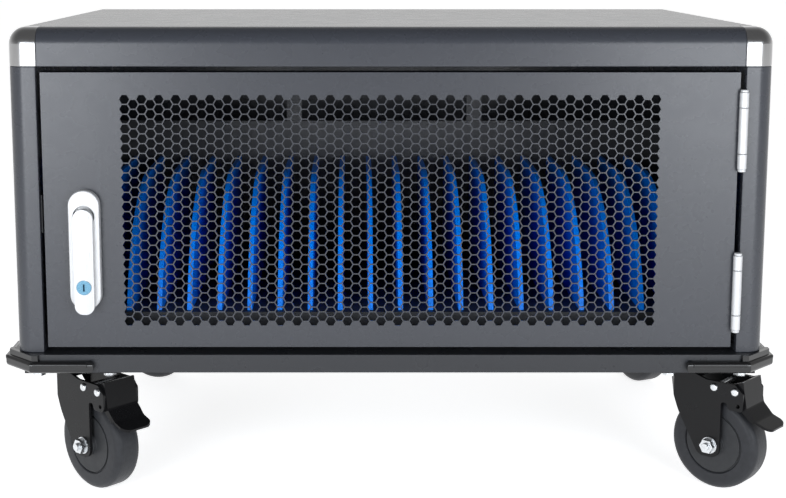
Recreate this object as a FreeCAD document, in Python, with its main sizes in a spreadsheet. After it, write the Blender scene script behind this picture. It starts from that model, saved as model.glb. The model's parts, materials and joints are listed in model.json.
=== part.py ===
import FreeCAD, Part
import math
import os
import Sketcher

# Charging cabinet on four swivel castors, in millimetres.
# Origin on the floor under the middle, +Z up, the door faces -Y.

DOC = FreeCAD.newDocument("charging_cabinet")

SIZES = {
    # case
    "body_width": 627,
    "body_depth": 400,
    "overall_height": 396,
    "top_band": 32,
    "edge_round": 14,
    "sheet": 1.5,
    "post_width": 23.5,
    "cap_width": 24.2,
    "vent_length": 44,
    "vent_width": 4,
    "vent_pitch": 12,
    "vent_count": 8,
    "vent_gap": 12,
    "vent_rise": 45,
    "back_inset": 3,
    "back_lap": 6,
    "back_overlap": 8,
    "screw_inset": 4.4,
    "screw_end": 20,
    "screw_radius": 1.6,
    "screw_head": 3.4,
    "screw_head_height": 1.8,
    # door
    "door_gap_left": 3.5,
    "door_gap_right": 4.5,
    "door_gap_top": 4.5,
    "door_gap_bottom": 4.8,
    "door_sheet": 1.2,
    "door_depth": 18,
    "mesh_margin_side": 60,
    "mesh_margin_end": 12.75,
    "mesh_border": 4,
    "hole_flats": 7.2,
    "hole_web": 0.9,
    "strip_columns": 8,
    # hinges
    "hinge_ahead": 4,
    "hinge_offset": 2.2,
    "barrel_radius": 3.75,
    "hinge_length": 63,
    "hinge_inset": 47.65,
    "knuckle_length": 37.6,
    "knuckle_gap": 0.4,
    "pin_radius": 2,
    "pin_head": 2.2,
    "pin_head_radius": 3.25,
    "pin_slack": 0.1,
    "leaf_sheet": 1.5,
    "leaf_reach": 18,
    "leaf_setback": 1,
    "running_gap": 0.08,
    # handle
    "handle_inset": 34,
    "spindle_rise": 112.6,
    "spindle_radius": 5,
    "plate_width": 25.6,
    "plate_above": 21.5,
    "plate_below": 78.9,
    "plate_depth": 8,
    "plate_round": 1.2,
    "dish_radius": 8.7,
    "dish_depth": 5.6,
    "spindle_shoulder": 1.2,
    "lever_width": 16.2,
    "lever_above": 6.7,
    "lever_below": 81.2,
    "lever_end_round": 6.8,
    "lever_thick": 6.6,
    "lever_edge": 5,
    "lever_ridge": 2.1,
    "lever_lift_gap": 0.4,
    "lever_slot_below": 10,
    "pivot_depth": 2.9,
    "pivot_radius": 1.2,
    "pivot_reach": 5.5,
    "tongue_width": 6,
    "tongue_radius": 2,
    "tongue_gap": 0.3,
    "plug_radius": 6.1,
    "plug_below": 58.4,
    "keyway_width": 1.4,
    "keyway_length": 6,
    "keyway_depth": 4,
    "cam_length": 32,
    "cam_width": 12,
    "cam_thick": 2.5,
    "keeper_gap": 0.6,
    "keeper_height": 32,
    "keeper_short": 18,
    "keeper_foot": 4,
    # bays
    "bay_pitch": 26,
    "bay_side_room": 45,
    "bay_shift": -3,
    "divider_thick": 4.4,
    "divider_height": 102,
    "divider_arc": 148.7,
    "divider_nose": 141,
    "divider_gap": 1.5,
    "tray_rise": 27,
    "tray_lead": 6,
    "bay_front": 38,
    "rear_room": 128,
    "partition_height": 137.5,
    "strap_width": 15,
    "strap_spacing": 181,
    "hem_height": 5,
    "hem_sheet": 1,
    # electrics
    "electrics_inset": 63.5,
    "block_bevel": 1,
    "supply_width": 150,
    "supply_depth": 62,
    "supply_height": 48,
    "module_margin": 15,
    "module_depth": 52,
    "module_height": 42,
    "socket_pitch": 24,
    "socket_row_gap": 22,
    "socket_width": 10.4,
    "socket_depth": 4.8,
    "socket_height": 5,
    "socket_wall": 0.8,
    "inlet_inset": 83.5,
    "inlet_rise": 14,
    "inlet_width": 27,
    "inlet_height": 20,
    "inlet_wall": 1.5,
    "inlet_flange": 4,
    "inlet_rim": 2,
    "inlet_depth": 24,
    "inlet_floor": 6,
    "contact_pitch": 7,
    "contact_width": 2,
    "contact_height": 4,
    "contact_step": 2,
    "contact_short": 3,
    "lead_radius": 3,
    "lead_rise": 20,
    # trolley
    "ledge_side": 4.5,
    "ledge_end": 6.6,
    "frame_drop": 15.4,
    "frame_chamfer": 21,
    "frame_sheet": 2,
    "gusset": 92,
    "bumper_reach": 8.4,
    "bumper_body": 7,
    "bumper_height": 10,
    "bumper_rise": 0.8,
    "bumper_arm": 50,
    "bumper_end": 4.6,
    "bumper_round": 3.5,
    "rail_height": 3.2,
    "rail_rise": 5.6,
    "rail_round": 1,
    "rail_short": 5,
    "rail_root": 3,
    "lip_reach": 4,
    "lip_arm": 3.5,
    # castors
    "castor_inset_side": 51,
    "castor_inset_end": 46.6,
    "trail": 25,
    "wheel_diameter": 80,
    "crown_gap": 21,
    "head_height": 7.6,
    "tyre_width": 25,
    "tyre_round": 5,
    "core_radius": 26,
    "groove_width": 1.2,
    "groove_depth": 1.5,
    "hub_radius": 10,
    "hub_gap": 0.4,
    "axle_radius": 3.2,
    "axle_stud": 2.5,
    "washer_radius": 7.2,
    "washer_sheet": 1,
    "nut_radius": 6.35,
    "nut_height": 5,
    "side_gap": 3.5,
    "fork_sheet": 2.5,
    "fork_bevel": 9,
    "fork_lead": 19.5,
    "fork_leg": 10.5,
    "fork_leg_round": 8.5,
    "fork_lead_round": 40,
    "ear_round": 3.2,
    "notch_round": 2.4,
    "ear_hole": 1.8,
    "plate_size": 80,
    "plate_sheet": 2.5,
    "cup_radius": 23,
    "cup_wall": 2,
    "cup_height": 2.2,
    "cup_gap": 0.5,
    "kingpin_radius": 5,
    "kingpin_gap": 0.4,
    "bolt_spacing": 60,
    "bolt_radius": 3,
    "bolt_head": 5.4,
    "bolt_head_height": 4,
    "bolt_end": 1.5,
    "rivet_radius": 2.5,
    "rivet_head": 3.5,
    "rivet_head_height": 2,
    "pedal_sheet": 2,
    "pedal_gap": 0.3,
    "tongue_half": 10,
    "tongue_corner": 6.5,
}

# The side each castor stands on, how far it was left turned, in degrees, and whether it has a brake.
CASTORS = {
    "front_left": (-1, -1, 43, True),
    "front_right": (1, -1, 42, True),
    "rear_left": (-1, 1, 22, False),
    "rear_right": (1, 1, 65, False),
}

NODES = {}


def fill_sheet():
    sheet = DOC.addObject("Spreadsheet::Sheet", "dims")
    for row, (alias, size) in enumerate(SIZES.items(), start=1):
        sheet.set(f"A{row}", alias)
        sheet.set(f"B{row}", str(size))
        sheet.setAlias(f"B{row}", alias)
    DOC.recompute()
    return sheet


SHEET = fill_sheet()


def value(expression):
    """The number that an expression on the sheet stands for."""
    return float(SHEET.evalExpression(expression))


def count(expression):
    return math.floor(value(expression) + 1e-9)


def neg(expression):
    return f"-({expression})"


HALF_WIDTH = "dims.body_width / 2"
FRONT = "-dims.body_depth / 2"
BACK = "dims.body_depth / 2"
BAND = "(dims.overall_height - dims.top_band)"
FORK_TOP = "(dims.wheel_diameter + dims.crown_gap)"
FRAME_LOW = f"({FORK_TOP} + dims.head_height)"
BODY_FLOOR = f"({FRAME_LOW} + dims.frame_drop)"
FRAME_X = "(dims.body_width / 2 + dims.ledge_side)"
FRAME_Y = "(dims.body_depth / 2 + dims.ledge_end)"
CASTOR_X = f"({FRAME_X} - dims.castor_inset_side)"
CASTOR_Y = f"({FRAME_Y} - dims.castor_inset_end)"
POST_X = "(dims.body_width / 2 - dims.post_width)"
PANEL_X = "(dims.body_width / 2 - dims.sheet)"
DOOR_LEFT = f"(-{POST_X} + dims.door_gap_left)"
DOOR_RIGHT = f"({POST_X} - dims.door_gap_right)"
DOOR_LOW = f"({BODY_FLOOR} + dims.door_gap_bottom)"
DOOR_TOP = f"({BAND} - dims.door_gap_top)"
MESH_X = (f"({DOOR_LEFT} + dims.mesh_margin_side)", f"({DOOR_RIGHT} - dims.mesh_margin_side)")
MESH_Z = (f"({DOOR_LOW} + dims.mesh_margin_end)", f"({DOOR_TOP} - dims.mesh_margin_end)")
HOLE_PITCH = "(dims.hole_flats + dims.hole_web)"
HINGE_X = f"({POST_X} - dims.hinge_offset)"
HINGE_Y = f"({FRONT} - dims.hinge_ahead)"
HANDLE_X = f"({DOOR_LEFT} + dims.handle_inset)"
SPINDLE_Z = f"({DOOR_LOW} + dims.spindle_rise)"
PLUG_Z = f"({SPINDLE_Z} - dims.plug_below)"
LEVER_TOP = f"({SPINDLE_Z} + dims.lever_above)"
LEVER_LOW = f"({SPINDLE_Z} - dims.lever_below)"
LEVER_BACK = f"({FRONT} - dims.plate_depth - dims.lever_lift_gap)"
LEVER_FRONT = f"({LEVER_BACK} - dims.lever_thick)"
PIVOT_Y = f"({LEVER_BACK} - dims.pivot_depth)"
KEEPER_Y = f"({FRONT} + dims.door_depth + dims.keeper_gap)"
CAM_Y = f"({KEEPER_Y} + dims.sheet + dims.keeper_gap)"
PARTITION_Y = f"({BACK} - dims.rear_room)"
CASE_BASE = f"({BODY_FLOOR} + dims.sheet)"
TRAY_TOP = f"({BODY_FLOOR} + dims.tray_rise)"
DIVIDERS = count(f"2 * ({PANEL_X} - dims.bay_side_room) / dims.bay_pitch")
SCREW_X = f"({POST_X} + dims.screw_inset)"
INLET_X = "(dims.body_width / 2 - dims.inlet_inset)"
INLET_LOW = f"({BODY_FLOOR} + dims.inlet_rise)"
INLET_MID = f"({INLET_LOW} + dims.inlet_height / 2)"
WHEEL_RADIUS = "dims.wheel_diameter / 2"
FORK_INSIDE = "(dims.tyre_width / 2 + dims.side_gap)"
FORK_HALF = f"({FORK_INSIDE} + dims.fork_sheet)"
PEDAL_HALF = f"({FORK_INSIDE} - dims.pedal_gap)"
EIGHTH_TURN_LEAN = math.tan(math.pi / 8)
NOMINAL_WHEEL = 80


def under_crown(ahead, below):
    """A place in a castor's side view, ahead of its axle and below the fork's crown.

    Both lengths are those of a castor with the nominal wheel, and they grow with the wheel.
    """
    share = f"dims.wheel_diameter / {NOMINAL_WHEEL}"
    return f"(dims.trail + {ahead} * {share})", f"({FORK_TOP} - {below} * {share})"


PIVOT_RIVET = under_crown(22, 9.9)
STOP_RIVET = under_crown(2.7, 9.2)
EAR_HOLE = under_crown(24.9, 21.9)
FORK_NECK = under_crown(-31, 36)
CROWN_END = under_crown(-19, 0)
EAR_CORNERS = [under_crown(16, 26.5), under_crown(29.5, 26.5), under_crown(29.5, 11), under_crown(22, 4)]
NOTCH_CORNERS = [under_crown(9.3, 21), under_crown(14.6, 21)]
EAR_START = under_crown(-5, 4)
PLAIN_CORNERS = [under_crown(9.3, 22), under_crown(3, 7)]
PEDAL_INSIDE = [under_crown(25.8, 1.4), under_crown(29.9, 25), under_crown(39.5, 34.5), under_crown(48, 38)]
PEDAL_OUTSIDE = [under_crown(27.8, 1.1), under_crown(31.8, 23.8), under_crown(40.3, 32.6),
                 under_crown(48.6, 36.1)]
CHEEK_REAR = [under_crown(16.5, 4.8), under_crown(16.5, 14), under_crown(24, 19.5), under_crown(27.5, 27),
              under_crown(36, 34.7)]
CHEEK_FRONT = [under_crown(39.9, 33.6), under_crown(30.9, 24.4), under_crown(26.8, 1.3)]

AXIS_TURN = {
    "X": FreeCAD.Rotation(FreeCAD.Vector(0, 1, 0), 90),
    "Y": FreeCAD.Rotation(FreeCAD.Vector(1, 0, 0), -90),
    "Z": FreeCAD.Rotation(),
}


def place(thing, x="0", y="0", z="0"):
    for letter, expression in zip("xyz", (x, y, z)):
        thing.setExpression(f"Placement.Base.{letter}", expression)
    return thing


def around(middle_place, width):
    """The two ends of a run that lies evenly about a place."""
    return f"{middle_place} - ({width}) / 2", f"{middle_place} + ({width}) / 2"


def box(name, x, y, z):
    """A block between two places along each axis, each pair given as expressions."""
    solid = DOC.addObject("Part::Box", name)
    for size, (low, high) in zip(("Length", "Width", "Height"), (x, y, z)):
        solid.setExpression(size, f"({high}) - ({low})")
    return place(solid, x[0], y[0], z[0])


def rod(name, axis, x, y, z, radius, length):
    """A round bar that starts at a place and runs along an axis."""
    bar = DOC.addObject("Part::Cylinder", name)
    bar.Placement = FreeCAD.Placement(FreeCAD.Vector(), AXIS_TURN[axis])
    bar.setExpression("Radius", radius)
    bar.setExpression("Height", length)
    return place(bar, x, y, z)


def hexagon(name, axis, x, y, z, radius, length):
    bar = DOC.addObject("Part::Prism", name)
    bar.Polygon = 6
    bar.Placement = FreeCAD.Placement(FreeCAD.Vector(), AXIS_TURN[axis])
    bar.setExpression("Circumradius", radius)
    bar.setExpression("Height", length)
    return place(bar, x, y, z)


def group(name, members):
    pile = DOC.addObject("Part::Compound", name)
    pile.Links = list(members)
    return pile


def cut(name, base, *tools):
    result = DOC.addObject("Part::Cut", name)
    result.Base = base
    result.Tool = tools[0] if len(tools) == 1 else group(f"{name}_tools", tools)
    return result


def fuse(name, *members):
    result = DOC.addObject("Part::MultiFuse", name)
    result.Shapes = list(members)
    result.Refine = True
    return result


def common(name, first, second):
    result = DOC.addObject("Part::MultiCommon", name)
    result.Shapes = [first, second]
    return result


def mirror(name, source, normal):
    copy = DOC.addObject("Part::Mirroring", name)
    copy.Source = source
    copy.Normal = FreeCAD.Vector(*normal)
    return copy


def outline(body, name, role, points):
    """A closed sketch of straight lines whose corners are tied to the sheet."""
    plane = next(item for item in body.Origin.OriginFeatures if item.Role == role)
    sketch = body.newObject("Sketcher::SketchObject", name)
    sketch.AttachmentSupport = [(plane, "")]
    sketch.MapMode = "FlatFace"
    corners = [FreeCAD.Vector(value(x), value(y), 0) for x, y in points]
    total = len(corners)
    for index, corner in enumerate(corners):
        sketch.addGeometry(Part.LineSegment(corner, corners[(index + 1) % total]), False)
    for index in range(total):
        sketch.addConstraint(Sketcher.Constraint("Coincident", index, 2, (index + 1) % total, 1))
    for index, (x, y) in enumerate(points):
        for kind, expression in (("DistanceX", x), ("DistanceY", y)):
            number = sketch.addConstraint(
                Sketcher.Constraint(kind, -1, 1, index, 1, value(expression)))
            sketch.setExpression(f"Constraints[{number}]", expression)
    return sketch


def prism(name, role, points, length, centred=False):
    """A body padded from an outline on one of its own planes."""
    body = DOC.addObject("PartDesign::Body", name)
    sketch = outline(body, f"{name}_sketch", role, points)
    pad = body.newObject("PartDesign::Pad", f"{name}_pad")
    pad.Profile = sketch
    pad.setExpression("Length", length)
    pad.Midplane = centred
    DOC.recompute()
    return body


def block(name, x, y, z):
    """A body that starts as a block, ready for rounded edges."""
    body = DOC.addObject("PartDesign::Body", name)
    solid = body.newObject("PartDesign::AdditiveBox", f"{name}_block")
    for size, (low, high) in zip(("Length", "Width", "Height"), (x, y, z)):
        solid.setExpression(size, f"({high}) - ({low})")
    place(body, x[0], y[0], z[0])
    DOC.recompute()
    return body


def dress(body, kind, size, chosen):
    """Round or bevel the edges of a body that a test picks out."""
    base = body.Tip
    names = [f"Edge{index}" for index, edge in enumerate(base.Shape.Edges, start=1) if chosen(edge)]
    feature = body.newObject(f"PartDesign::{kind}", f"{body.Name}_{kind.lower()}{len(body.Group)}")
    feature.Base = (base, names)
    feature.setExpression("Radius" if kind == "Fillet" else "Size", size)
    DOC.recompute()
    return body


def runs_along(edge, axis):
    """True where an edge is straight and parallel to an axis."""
    if edge.Curve.TypeId != "Part::GeomLine":
        return False
    return abs(getattr(edge.Curve.Direction, axis)) > 0.999


def middle(edge):
    return edge.CenterOfMass


def crossing_at(axis, across, points):
    """A test for the edges along an axis that stand at given corners of an outline."""
    spots = [(value(first), value(second)) for first, second in points]

    def chosen(edge):
        if not runs_along(edge, axis):
            return False
        here = [getattr(middle(edge), letter) for letter in across]
        return any(math.dist(here, spot) < 0.01 for spot in spots)

    return chosen


def node(name, thing):
    thing.Label = name
    NODES[name] = thing
    return thing


def rounded_block(name, x, y, z, radius):
    """A block with its upright edges and its top edges rounded alike."""
    body = block(name, x, y, z)
    height = value(f"({z[1]}) - ({z[0]})")
    return dress(body, "Fillet", radius,
                 lambda edge: runs_along(edge, "z") or middle(edge).z > height - 0.01)


def build_top():
    outer = rounded_block("top_outer", (neg(HALF_WIDTH), HALF_WIDTH), (FRONT, BACK),
                          (BAND, "dims.overall_height"), "dims.edge_round")
    inner = rounded_block("top_inner", (neg(PANEL_X), PANEL_X),
                          (f"{FRONT} + dims.sheet", f"{BACK} - dims.sheet"),
                          (BAND, "dims.overall_height - dims.sheet"),
                          "dims.edge_round - dims.sheet")
    shell = cut("top_shell", outer, inner)
    corners = {}
    for side, low, high in (("left", neg(HALF_WIDTH), f"-{HALF_WIDTH} + dims.cap_width"),
                            ("right", f"{HALF_WIDTH} - dims.cap_width", HALF_WIDTH)):
        corners[side] = box(f"{side}_cap_room", (low, high), (FRONT, f"{FRONT} + dims.cap_width"),
                            (BAND, "dims.overall_height"))
        node(f"{side}_corner_cap", common(f"{side}_corner_cap", shell, corners[side]))
    node("top_cover", cut("top_cover", shell, corners["left"], corners["right"]))


def corner_post(name, x, y, outward):
    """A hollow upright whose outer edge is rounded; outward says which edge, in X and Y."""
    wall = "dims.sheet"
    outer = block(f"{name}_outer", x, y, (BODY_FLOOR, BAND))
    inner = block(f"{name}_inner", (f"{x[0]} + {wall}", f"{x[1]} - {wall}"),
                  (f"{y[0]} + {wall}", f"{y[1]} - {wall}"), (BODY_FLOOR, BAND))
    half = value("dims.post_width / 2")

    def on_outer_edge(edge):
        if not runs_along(edge, "z"):
            return False
        spot = middle(edge)
        return (spot.x - half) * outward[0] > 0 and (spot.y - half) * outward[1] > 0

    dress(outer, "Fillet", "dims.edge_round", on_outer_edge)
    dress(inner, "Fillet", "dims.edge_round - dims.sheet", on_outer_edge)
    node(name, cut(name, outer, inner))


def build_posts():
    for side, sign in (("left", -1), ("right", 1)):
        x = (neg(HALF_WIDTH), neg(POST_X)) if sign < 0 else (POST_X, HALF_WIDTH)
        corner_post(f"{side}_front_post", x, (FRONT, f"{FRONT} + dims.post_width"), (sign, -1))
        corner_post(f"{side}_rear_post", x, (f"{BACK} - dims.post_width", BACK), (sign, 1))


def vents(name, x, y):
    """A ladder of level slots, one above the other."""
    slots = []
    for step in range(count("dims.vent_count")):
        low = f"{BODY_FLOOR} + dims.vent_rise + {step} * dims.vent_pitch"
        slots.append(box(f"{name}_{step}", x, y, (low, f"{low} + dims.vent_width")))
    return slots


def build_panels():
    depth = (f"{FRONT} + dims.post_width", f"{BACK} - dims.post_width")
    slot_end = f"({BACK} - dims.post_width - dims.vent_gap)"
    slot_y = (f"{slot_end} - dims.vent_length", slot_end)
    for side, x in (("left", (neg(HALF_WIDTH), neg(PANEL_X))), ("right", (PANEL_X, HALF_WIDTH))):
        panel = box(f"{side}_sheet", x, depth, (BODY_FLOOR, BAND))
        node(f"{side}_side_panel", cut(f"{side}_side_panel", panel, *vents(f"{side}_vent", x, slot_y)))
    node("bottom_panel", box("bottom_panel", (neg(PANEL_X), PANEL_X), depth, (BODY_FLOOR, CASE_BASE)))


def build_back():
    x_end = f"({POST_X} + dims.back_overlap)"
    y = (BACK, f"{BACK} + dims.sheet")
    plain = box("back_sheet", (neg(x_end), x_end), y,
                (f"{BODY_FLOOR} + dims.back_inset", f"{BAND} + dims.back_lap"))
    openings = [box("inlet_room", around(INLET_X, "dims.inlet_width"), y,
                    (INLET_LOW, f"{INLET_LOW} + dims.inlet_height"))]
    step = "(dims.vent_length + dims.vent_gap)"
    columns = count(f"2 * ({POST_X} - dims.vent_gap) / {step}")
    for column in range(columns):
        mid = f"({column} - {(columns - 1) / 2}) * {step}"
        openings += vents(f"back_vent{column}", around(mid, "dims.vent_length"), y)
    screws = []
    heights = (f"{BODY_FLOOR} + dims.screw_end", f"({BODY_FLOOR} + {BAND}) / 2", f"{BAND} - dims.screw_end")
    for side, sign in (("left", -1), ("right", 1)):
        for level, height in enumerate(heights):
            spot = f"{sign} * {SCREW_X}"
            tag = f"{side}{level}"
            openings.append(rod(f"screw_hole_{tag}", "Y", spot, BACK, height, "dims.screw_radius",
                                "dims.sheet"))
            shank = rod(f"screw_shank_{tag}", "Y", spot, BACK, height, "dims.screw_radius", "dims.sheet")
            head = rod(f"screw_head_{tag}", "Y", spot, f"{BACK} + dims.sheet", height, "dims.screw_head",
                       "dims.screw_head_height")
            screws.append(fuse(f"screw_{tag}", shank, head))
    node("back_panel", cut("back_panel", plain, *openings))
    node("back_panel_screws", group("back_panel_screws", screws))


def build_bays():
    tray_under = f"({TRAY_TOP} - dims.sheet)"
    x = (neg(PANEL_X), PANEL_X)
    y_front = f"({FRONT} + dims.bay_front - dims.tray_lead)"
    deck = box("tray_deck", x, (y_front, PARTITION_Y), (tray_under, TRAY_TOP))
    front_leg = box("tray_front", x, (y_front, f"{y_front} + dims.sheet"), (CASE_BASE, tray_under))
    rear_leg = box("tray_rear", x, (f"{PARTITION_Y} - dims.sheet", PARTITION_Y), (CASE_BASE, tray_under))
    node("bay_tray", fuse("bay_tray", deck, front_leg, rear_leg))

    wall_y = (PARTITION_Y, f"{PARTITION_Y} + dims.sheet")
    wall_top = f"({TRAY_TOP} + dims.partition_height)"
    wall = box("partition_wall", x, wall_y, (CASE_BASE, wall_top))
    hem = box("partition_hem", x, (f"{PARTITION_Y} - dims.hem_sheet", PARTITION_Y),
              (f"{wall_top} - dims.hem_height", wall_top))
    straps = [box(f"strap_{side}", around(f"{sign} * dims.strap_spacing / 2", "dims.strap_width"),
                  wall_y, (wall_top, "dims.overall_height - dims.sheet"))
              for side, sign in (("left", -1), ("right", 1))]
    node("bay_partition", fuse("bay_partition", wall, hem, *straps))
    build_dividers()


def build_dividers():
    """Upright plates in a row, their front edges on one large arc."""
    top = f"({TRAY_TOP} + dims.divider_height)"
    front = f"({FRONT} + dims.bay_front)"
    arc_y = f"({front} + dims.divider_nose)"
    half_row = f"(({DIVIDERS} / 2 + 1) * dims.bay_pitch)"
    reach = (neg(half_row), half_row)
    nose = common("divider_nose", box("divider_front", reach, (front, arc_y), (TRAY_TOP, top)),
                  rod("divider_round", "X", neg(half_row), arc_y, f"{top} - dims.divider_arc",
                      "dims.divider_arc", f"2 * {half_row}"))
    tail = box("divider_tail", reach, (arc_y, f"{PARTITION_Y} - dims.divider_gap"), (TRAY_TOP, top))
    shape = fuse("divider_shape", nose, tail)
    plates = []
    for step in range(DIVIDERS):
        mid = f"(dims.bay_shift + ({step} - {(DIVIDERS - 1) / 2}) * dims.bay_pitch)"
        plates.append(box(f"divider_slice_{step}", around(mid, "dims.divider_thick"), (FRONT, BACK),
                          (TRAY_TOP, top)))
    node("bay_dividers", common("bay_dividers", shape, group("divider_slices", plates)))


def build_electrics():
    per_row = DIVIDERS // 2
    middle_y = f"(({PARTITION_Y} + dims.sheet + {BACK}) / 2)"
    supply_end = f"({HALF_WIDTH} - dims.electrics_inset)"
    supply_start = f"({supply_end} - dims.supply_width)"
    supply = block("power_supply", (supply_start, supply_end), around(middle_y, "dims.supply_depth"),
                   (CASE_BASE, f"{CASE_BASE} + dims.supply_height"))
    dress(supply, "Chamfer", "dims.block_bevel", lambda edge: runs_along(edge, "z"))
    node("power_supply", supply)

    module_start = f"(-{HALF_WIDTH} + dims.electrics_inset)"
    module_width = f"({per_row} * dims.socket_pitch + 2 * dims.module_margin)"
    module_top = f"({CASE_BASE} + dims.module_height)"
    module_end = f"({module_start} + {module_width})"
    module = block("charge_module", (module_start, module_end), around(middle_y, "dims.module_depth"),
                   (CASE_BASE, module_top))
    dress(module, "Chamfer", "dims.block_bevel", lambda edge: runs_along(edge, "z"))
    node("charge_module", module)
    sockets = []
    for row, sign in (("front", -1), ("rear", 1)):
        y = f"({middle_y} + {sign} * dims.socket_row_gap / 2)"
        for step in range(per_row):
            x = f"({module_start} + dims.module_margin + ({step} + 0.5) * dims.socket_pitch)"
            sockets.append(socket(f"{row}_socket_{step}", x, y, module_top))
    node("charge_sockets", group("charge_sockets", sockets))
    build_inlet(f"({middle_y} + dims.supply_depth / 2)")
    node("low_voltage_lead", rod("low_voltage_lead", "X", module_end, middle_y,
                                 f"{CASE_BASE} + dims.lead_rise",
                                 "dims.lead_radius", f"{supply_start} - {module_end}"))


def socket(name, x, y, base):
    top = f"{base} + dims.socket_height"
    shell = box(f"{name}_shell", around(x, "dims.socket_width"), around(y, "dims.socket_depth"),
                (base, top))
    slot = box(f"{name}_slot", around(x, "dims.socket_width - 2 * dims.socket_wall"),
               around(y, "dims.socket_depth - 2 * dims.socket_wall"), (f"{base} + dims.socket_wall", top))
    return cut(name, shell, slot)


def build_inlet(supply_face):
    """Mains inlet in the back panel, its lead running straight to the supply."""
    outer_face = f"({BACK} + dims.sheet)"
    rim_face = f"({outer_face} + dims.inlet_rim)"
    rear = f"({outer_face} - dims.inlet_depth)"
    floor = f"({rear} + dims.inlet_floor)"
    body = box("inlet_body", around(INLET_X, "dims.inlet_width"), (rear, outer_face),
               around(INLET_MID, "dims.inlet_height"))
    flange = box("inlet_rim", around(INLET_X, "dims.inlet_width + 2 * dims.inlet_flange"),
                 (outer_face, rim_face),
                 around(INLET_MID, "dims.inlet_height + 2 * dims.inlet_flange"))
    recess = box("inlet_recess", around(INLET_X, "dims.inlet_width - 2 * dims.inlet_wall"),
                 (floor, rim_face),
                 around(INLET_MID, "dims.inlet_height - 2 * dims.inlet_wall"))
    node("power_inlet", cut("power_inlet", fuse("inlet_housing", body, flange), recess))
    pins = []
    for name, step, lift in (("left", -1, -1), ("middle", 0, 1), ("right", 1, -1)):
        x = f"({INLET_X} + {step} * dims.contact_pitch)"
        z = f"({INLET_MID} + {lift} * dims.contact_step)"
        pins.append(box(f"{name}_contact", around(x, "dims.contact_width"),
                        (floor, f"{outer_face} - dims.contact_short"), around(z, "dims.contact_height")))
    node("inlet_pins", group("inlet_pins", pins))
    node("mains_lead", rod("mains_lead", "Y", INLET_X, supply_face, INLET_MID, "dims.lead_radius",
                           f"{rear} - {supply_face}"))


def octagon(half_x, half_y, corner):
    """A rectangle with its four corners cut off, as a list of corners."""
    short_x, short_y = f"({half_x}) - ({corner})", f"({half_y}) - ({corner})"
    right = [(half_x, neg(short_y)), (half_x, short_y), (short_x, half_y)]
    left = [(neg(short_x), half_y), (neg(half_x), short_y), (neg(half_x), neg(short_y))]
    return right + left + [(neg(short_x), neg(half_y)), (short_x, neg(half_y))]


def build_frame():
    wall = "dims.frame_sheet"
    inner_corner = f"dims.frame_chamfer - {wall} + {wall} * {EIGHTH_TURN_LEAN:.4f}"
    outer = prism("frame_outer", "XY_Plane", octagon(FRAME_X, FRAME_Y, "dims.frame_chamfer"),
                  "dims.frame_drop")
    inner = prism("frame_inner", "XY_Plane",
                  octagon(f"{FRAME_X} - {wall}", f"{FRAME_Y} - {wall}", inner_corner),
                  f"dims.frame_drop - {wall}")
    place(outer, z=FRAME_LOW)
    place(inner, z=FRAME_LOW)
    pads = []
    for corner, (sign_x, sign_y, _, _) in CASTORS.items():
        pads.append(box(f"{corner}_gusset", around(f"{sign_x} * {CASTOR_X}", "dims.gusset"),
                        around(f"{sign_y} * {CASTOR_Y}", "dims.gusset"),
                        (FRAME_LOW, f"{FRAME_LOW} + {wall}")))
    pan = cut("frame_pan", outer, inner)
    trimmed = common("frame_gussets", group("gusset_plates", pads), outer)
    node("base_frame", cut("base_frame", fuse("frame_joined", pan, trimmed), *bolt_shanks("hole")))


def castor_bolt_places():
    for corner, (sign_x, sign_y, _, _) in CASTORS.items():
        for number, (bolt_x, bolt_y) in enumerate(((-1, -1), (-1, 1), (1, -1), (1, 1))):
            x = f"{sign_x} * {CASTOR_X} + {bolt_x} * dims.bolt_spacing / 2"
            y = f"{sign_y} * {CASTOR_Y} + {bolt_y} * dims.bolt_spacing / 2"
            yield f"{corner}{number}", x, y


def bolt_shanks(purpose):
    """Upright bars where the castor bolts go through plate and gusset."""
    low = f"({FRAME_LOW} - dims.plate_sheet)"
    high = f"({FRAME_LOW} + dims.frame_sheet + dims.bolt_end)"
    return [rod(f"bolt_{purpose}_{tag}", "Z", x, y, low, "dims.bolt_radius", f"{high} - {low}")
            for tag, x, y in castor_bolt_places()]


def build_castor_bolts():
    bolts = []
    for shank, (tag, x, y) in zip(bolt_shanks("shank"), castor_bolt_places()):
        head = hexagon(f"bolt_head_{tag}", "Z", x, y,
                       f"{FRAME_LOW} - dims.plate_sheet - dims.bolt_head_height",
                       "dims.bolt_head", "dims.bolt_head_height")
        bolts.append(fuse(f"castor_bolt_{tag}", shank, head))
    node("castor_bolts", group("castor_bolts", bolts))


def corner_band(name, arm, outer, height, rounds=None):
    """A strip against the frame's front right corner, with an arm along each of its two faces."""

    def corners(reach):
        face_x, face_y = f"({FRAME_X} + {reach})", f"({FRAME_Y} + {reach})"
        cut_off = f"(dims.frame_chamfer - ({reach}) * {EIGHTH_TURN_LEAN:.4f} + ({reach}))"
        end = f"(dims.frame_chamfer + {arm})"
        return [(f"{FRAME_X} - {end}", neg(face_y)), (f"{face_x} - {cut_off}", neg(face_y)),
                (face_x, f"-{face_y} + {cut_off}"), (face_x, f"-{FRAME_Y} + {end}")]

    band = prism(name, "XY_Plane", corners(outer) + corners("0")[::-1], height)
    if rounds:
        outside = [FreeCAD.Vector(value(x), value(y), 0) for x, y in corners(outer)]
        dress(band, "Fillet", rounds, lambda edge: on_outside(edge, outside))
    return band


def on_outside(edge, chain):
    """True where a level edge lies on one of the outer runs of a strip."""
    spot = middle(edge)
    if runs_along(edge, "z"):
        return False
    flat = FreeCAD.Vector(spot.x, spot.y, 0)
    return any((flat - (first + second) * 0.5).Length < 0.01 for first, second in zip(chain, chain[1:]))


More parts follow.
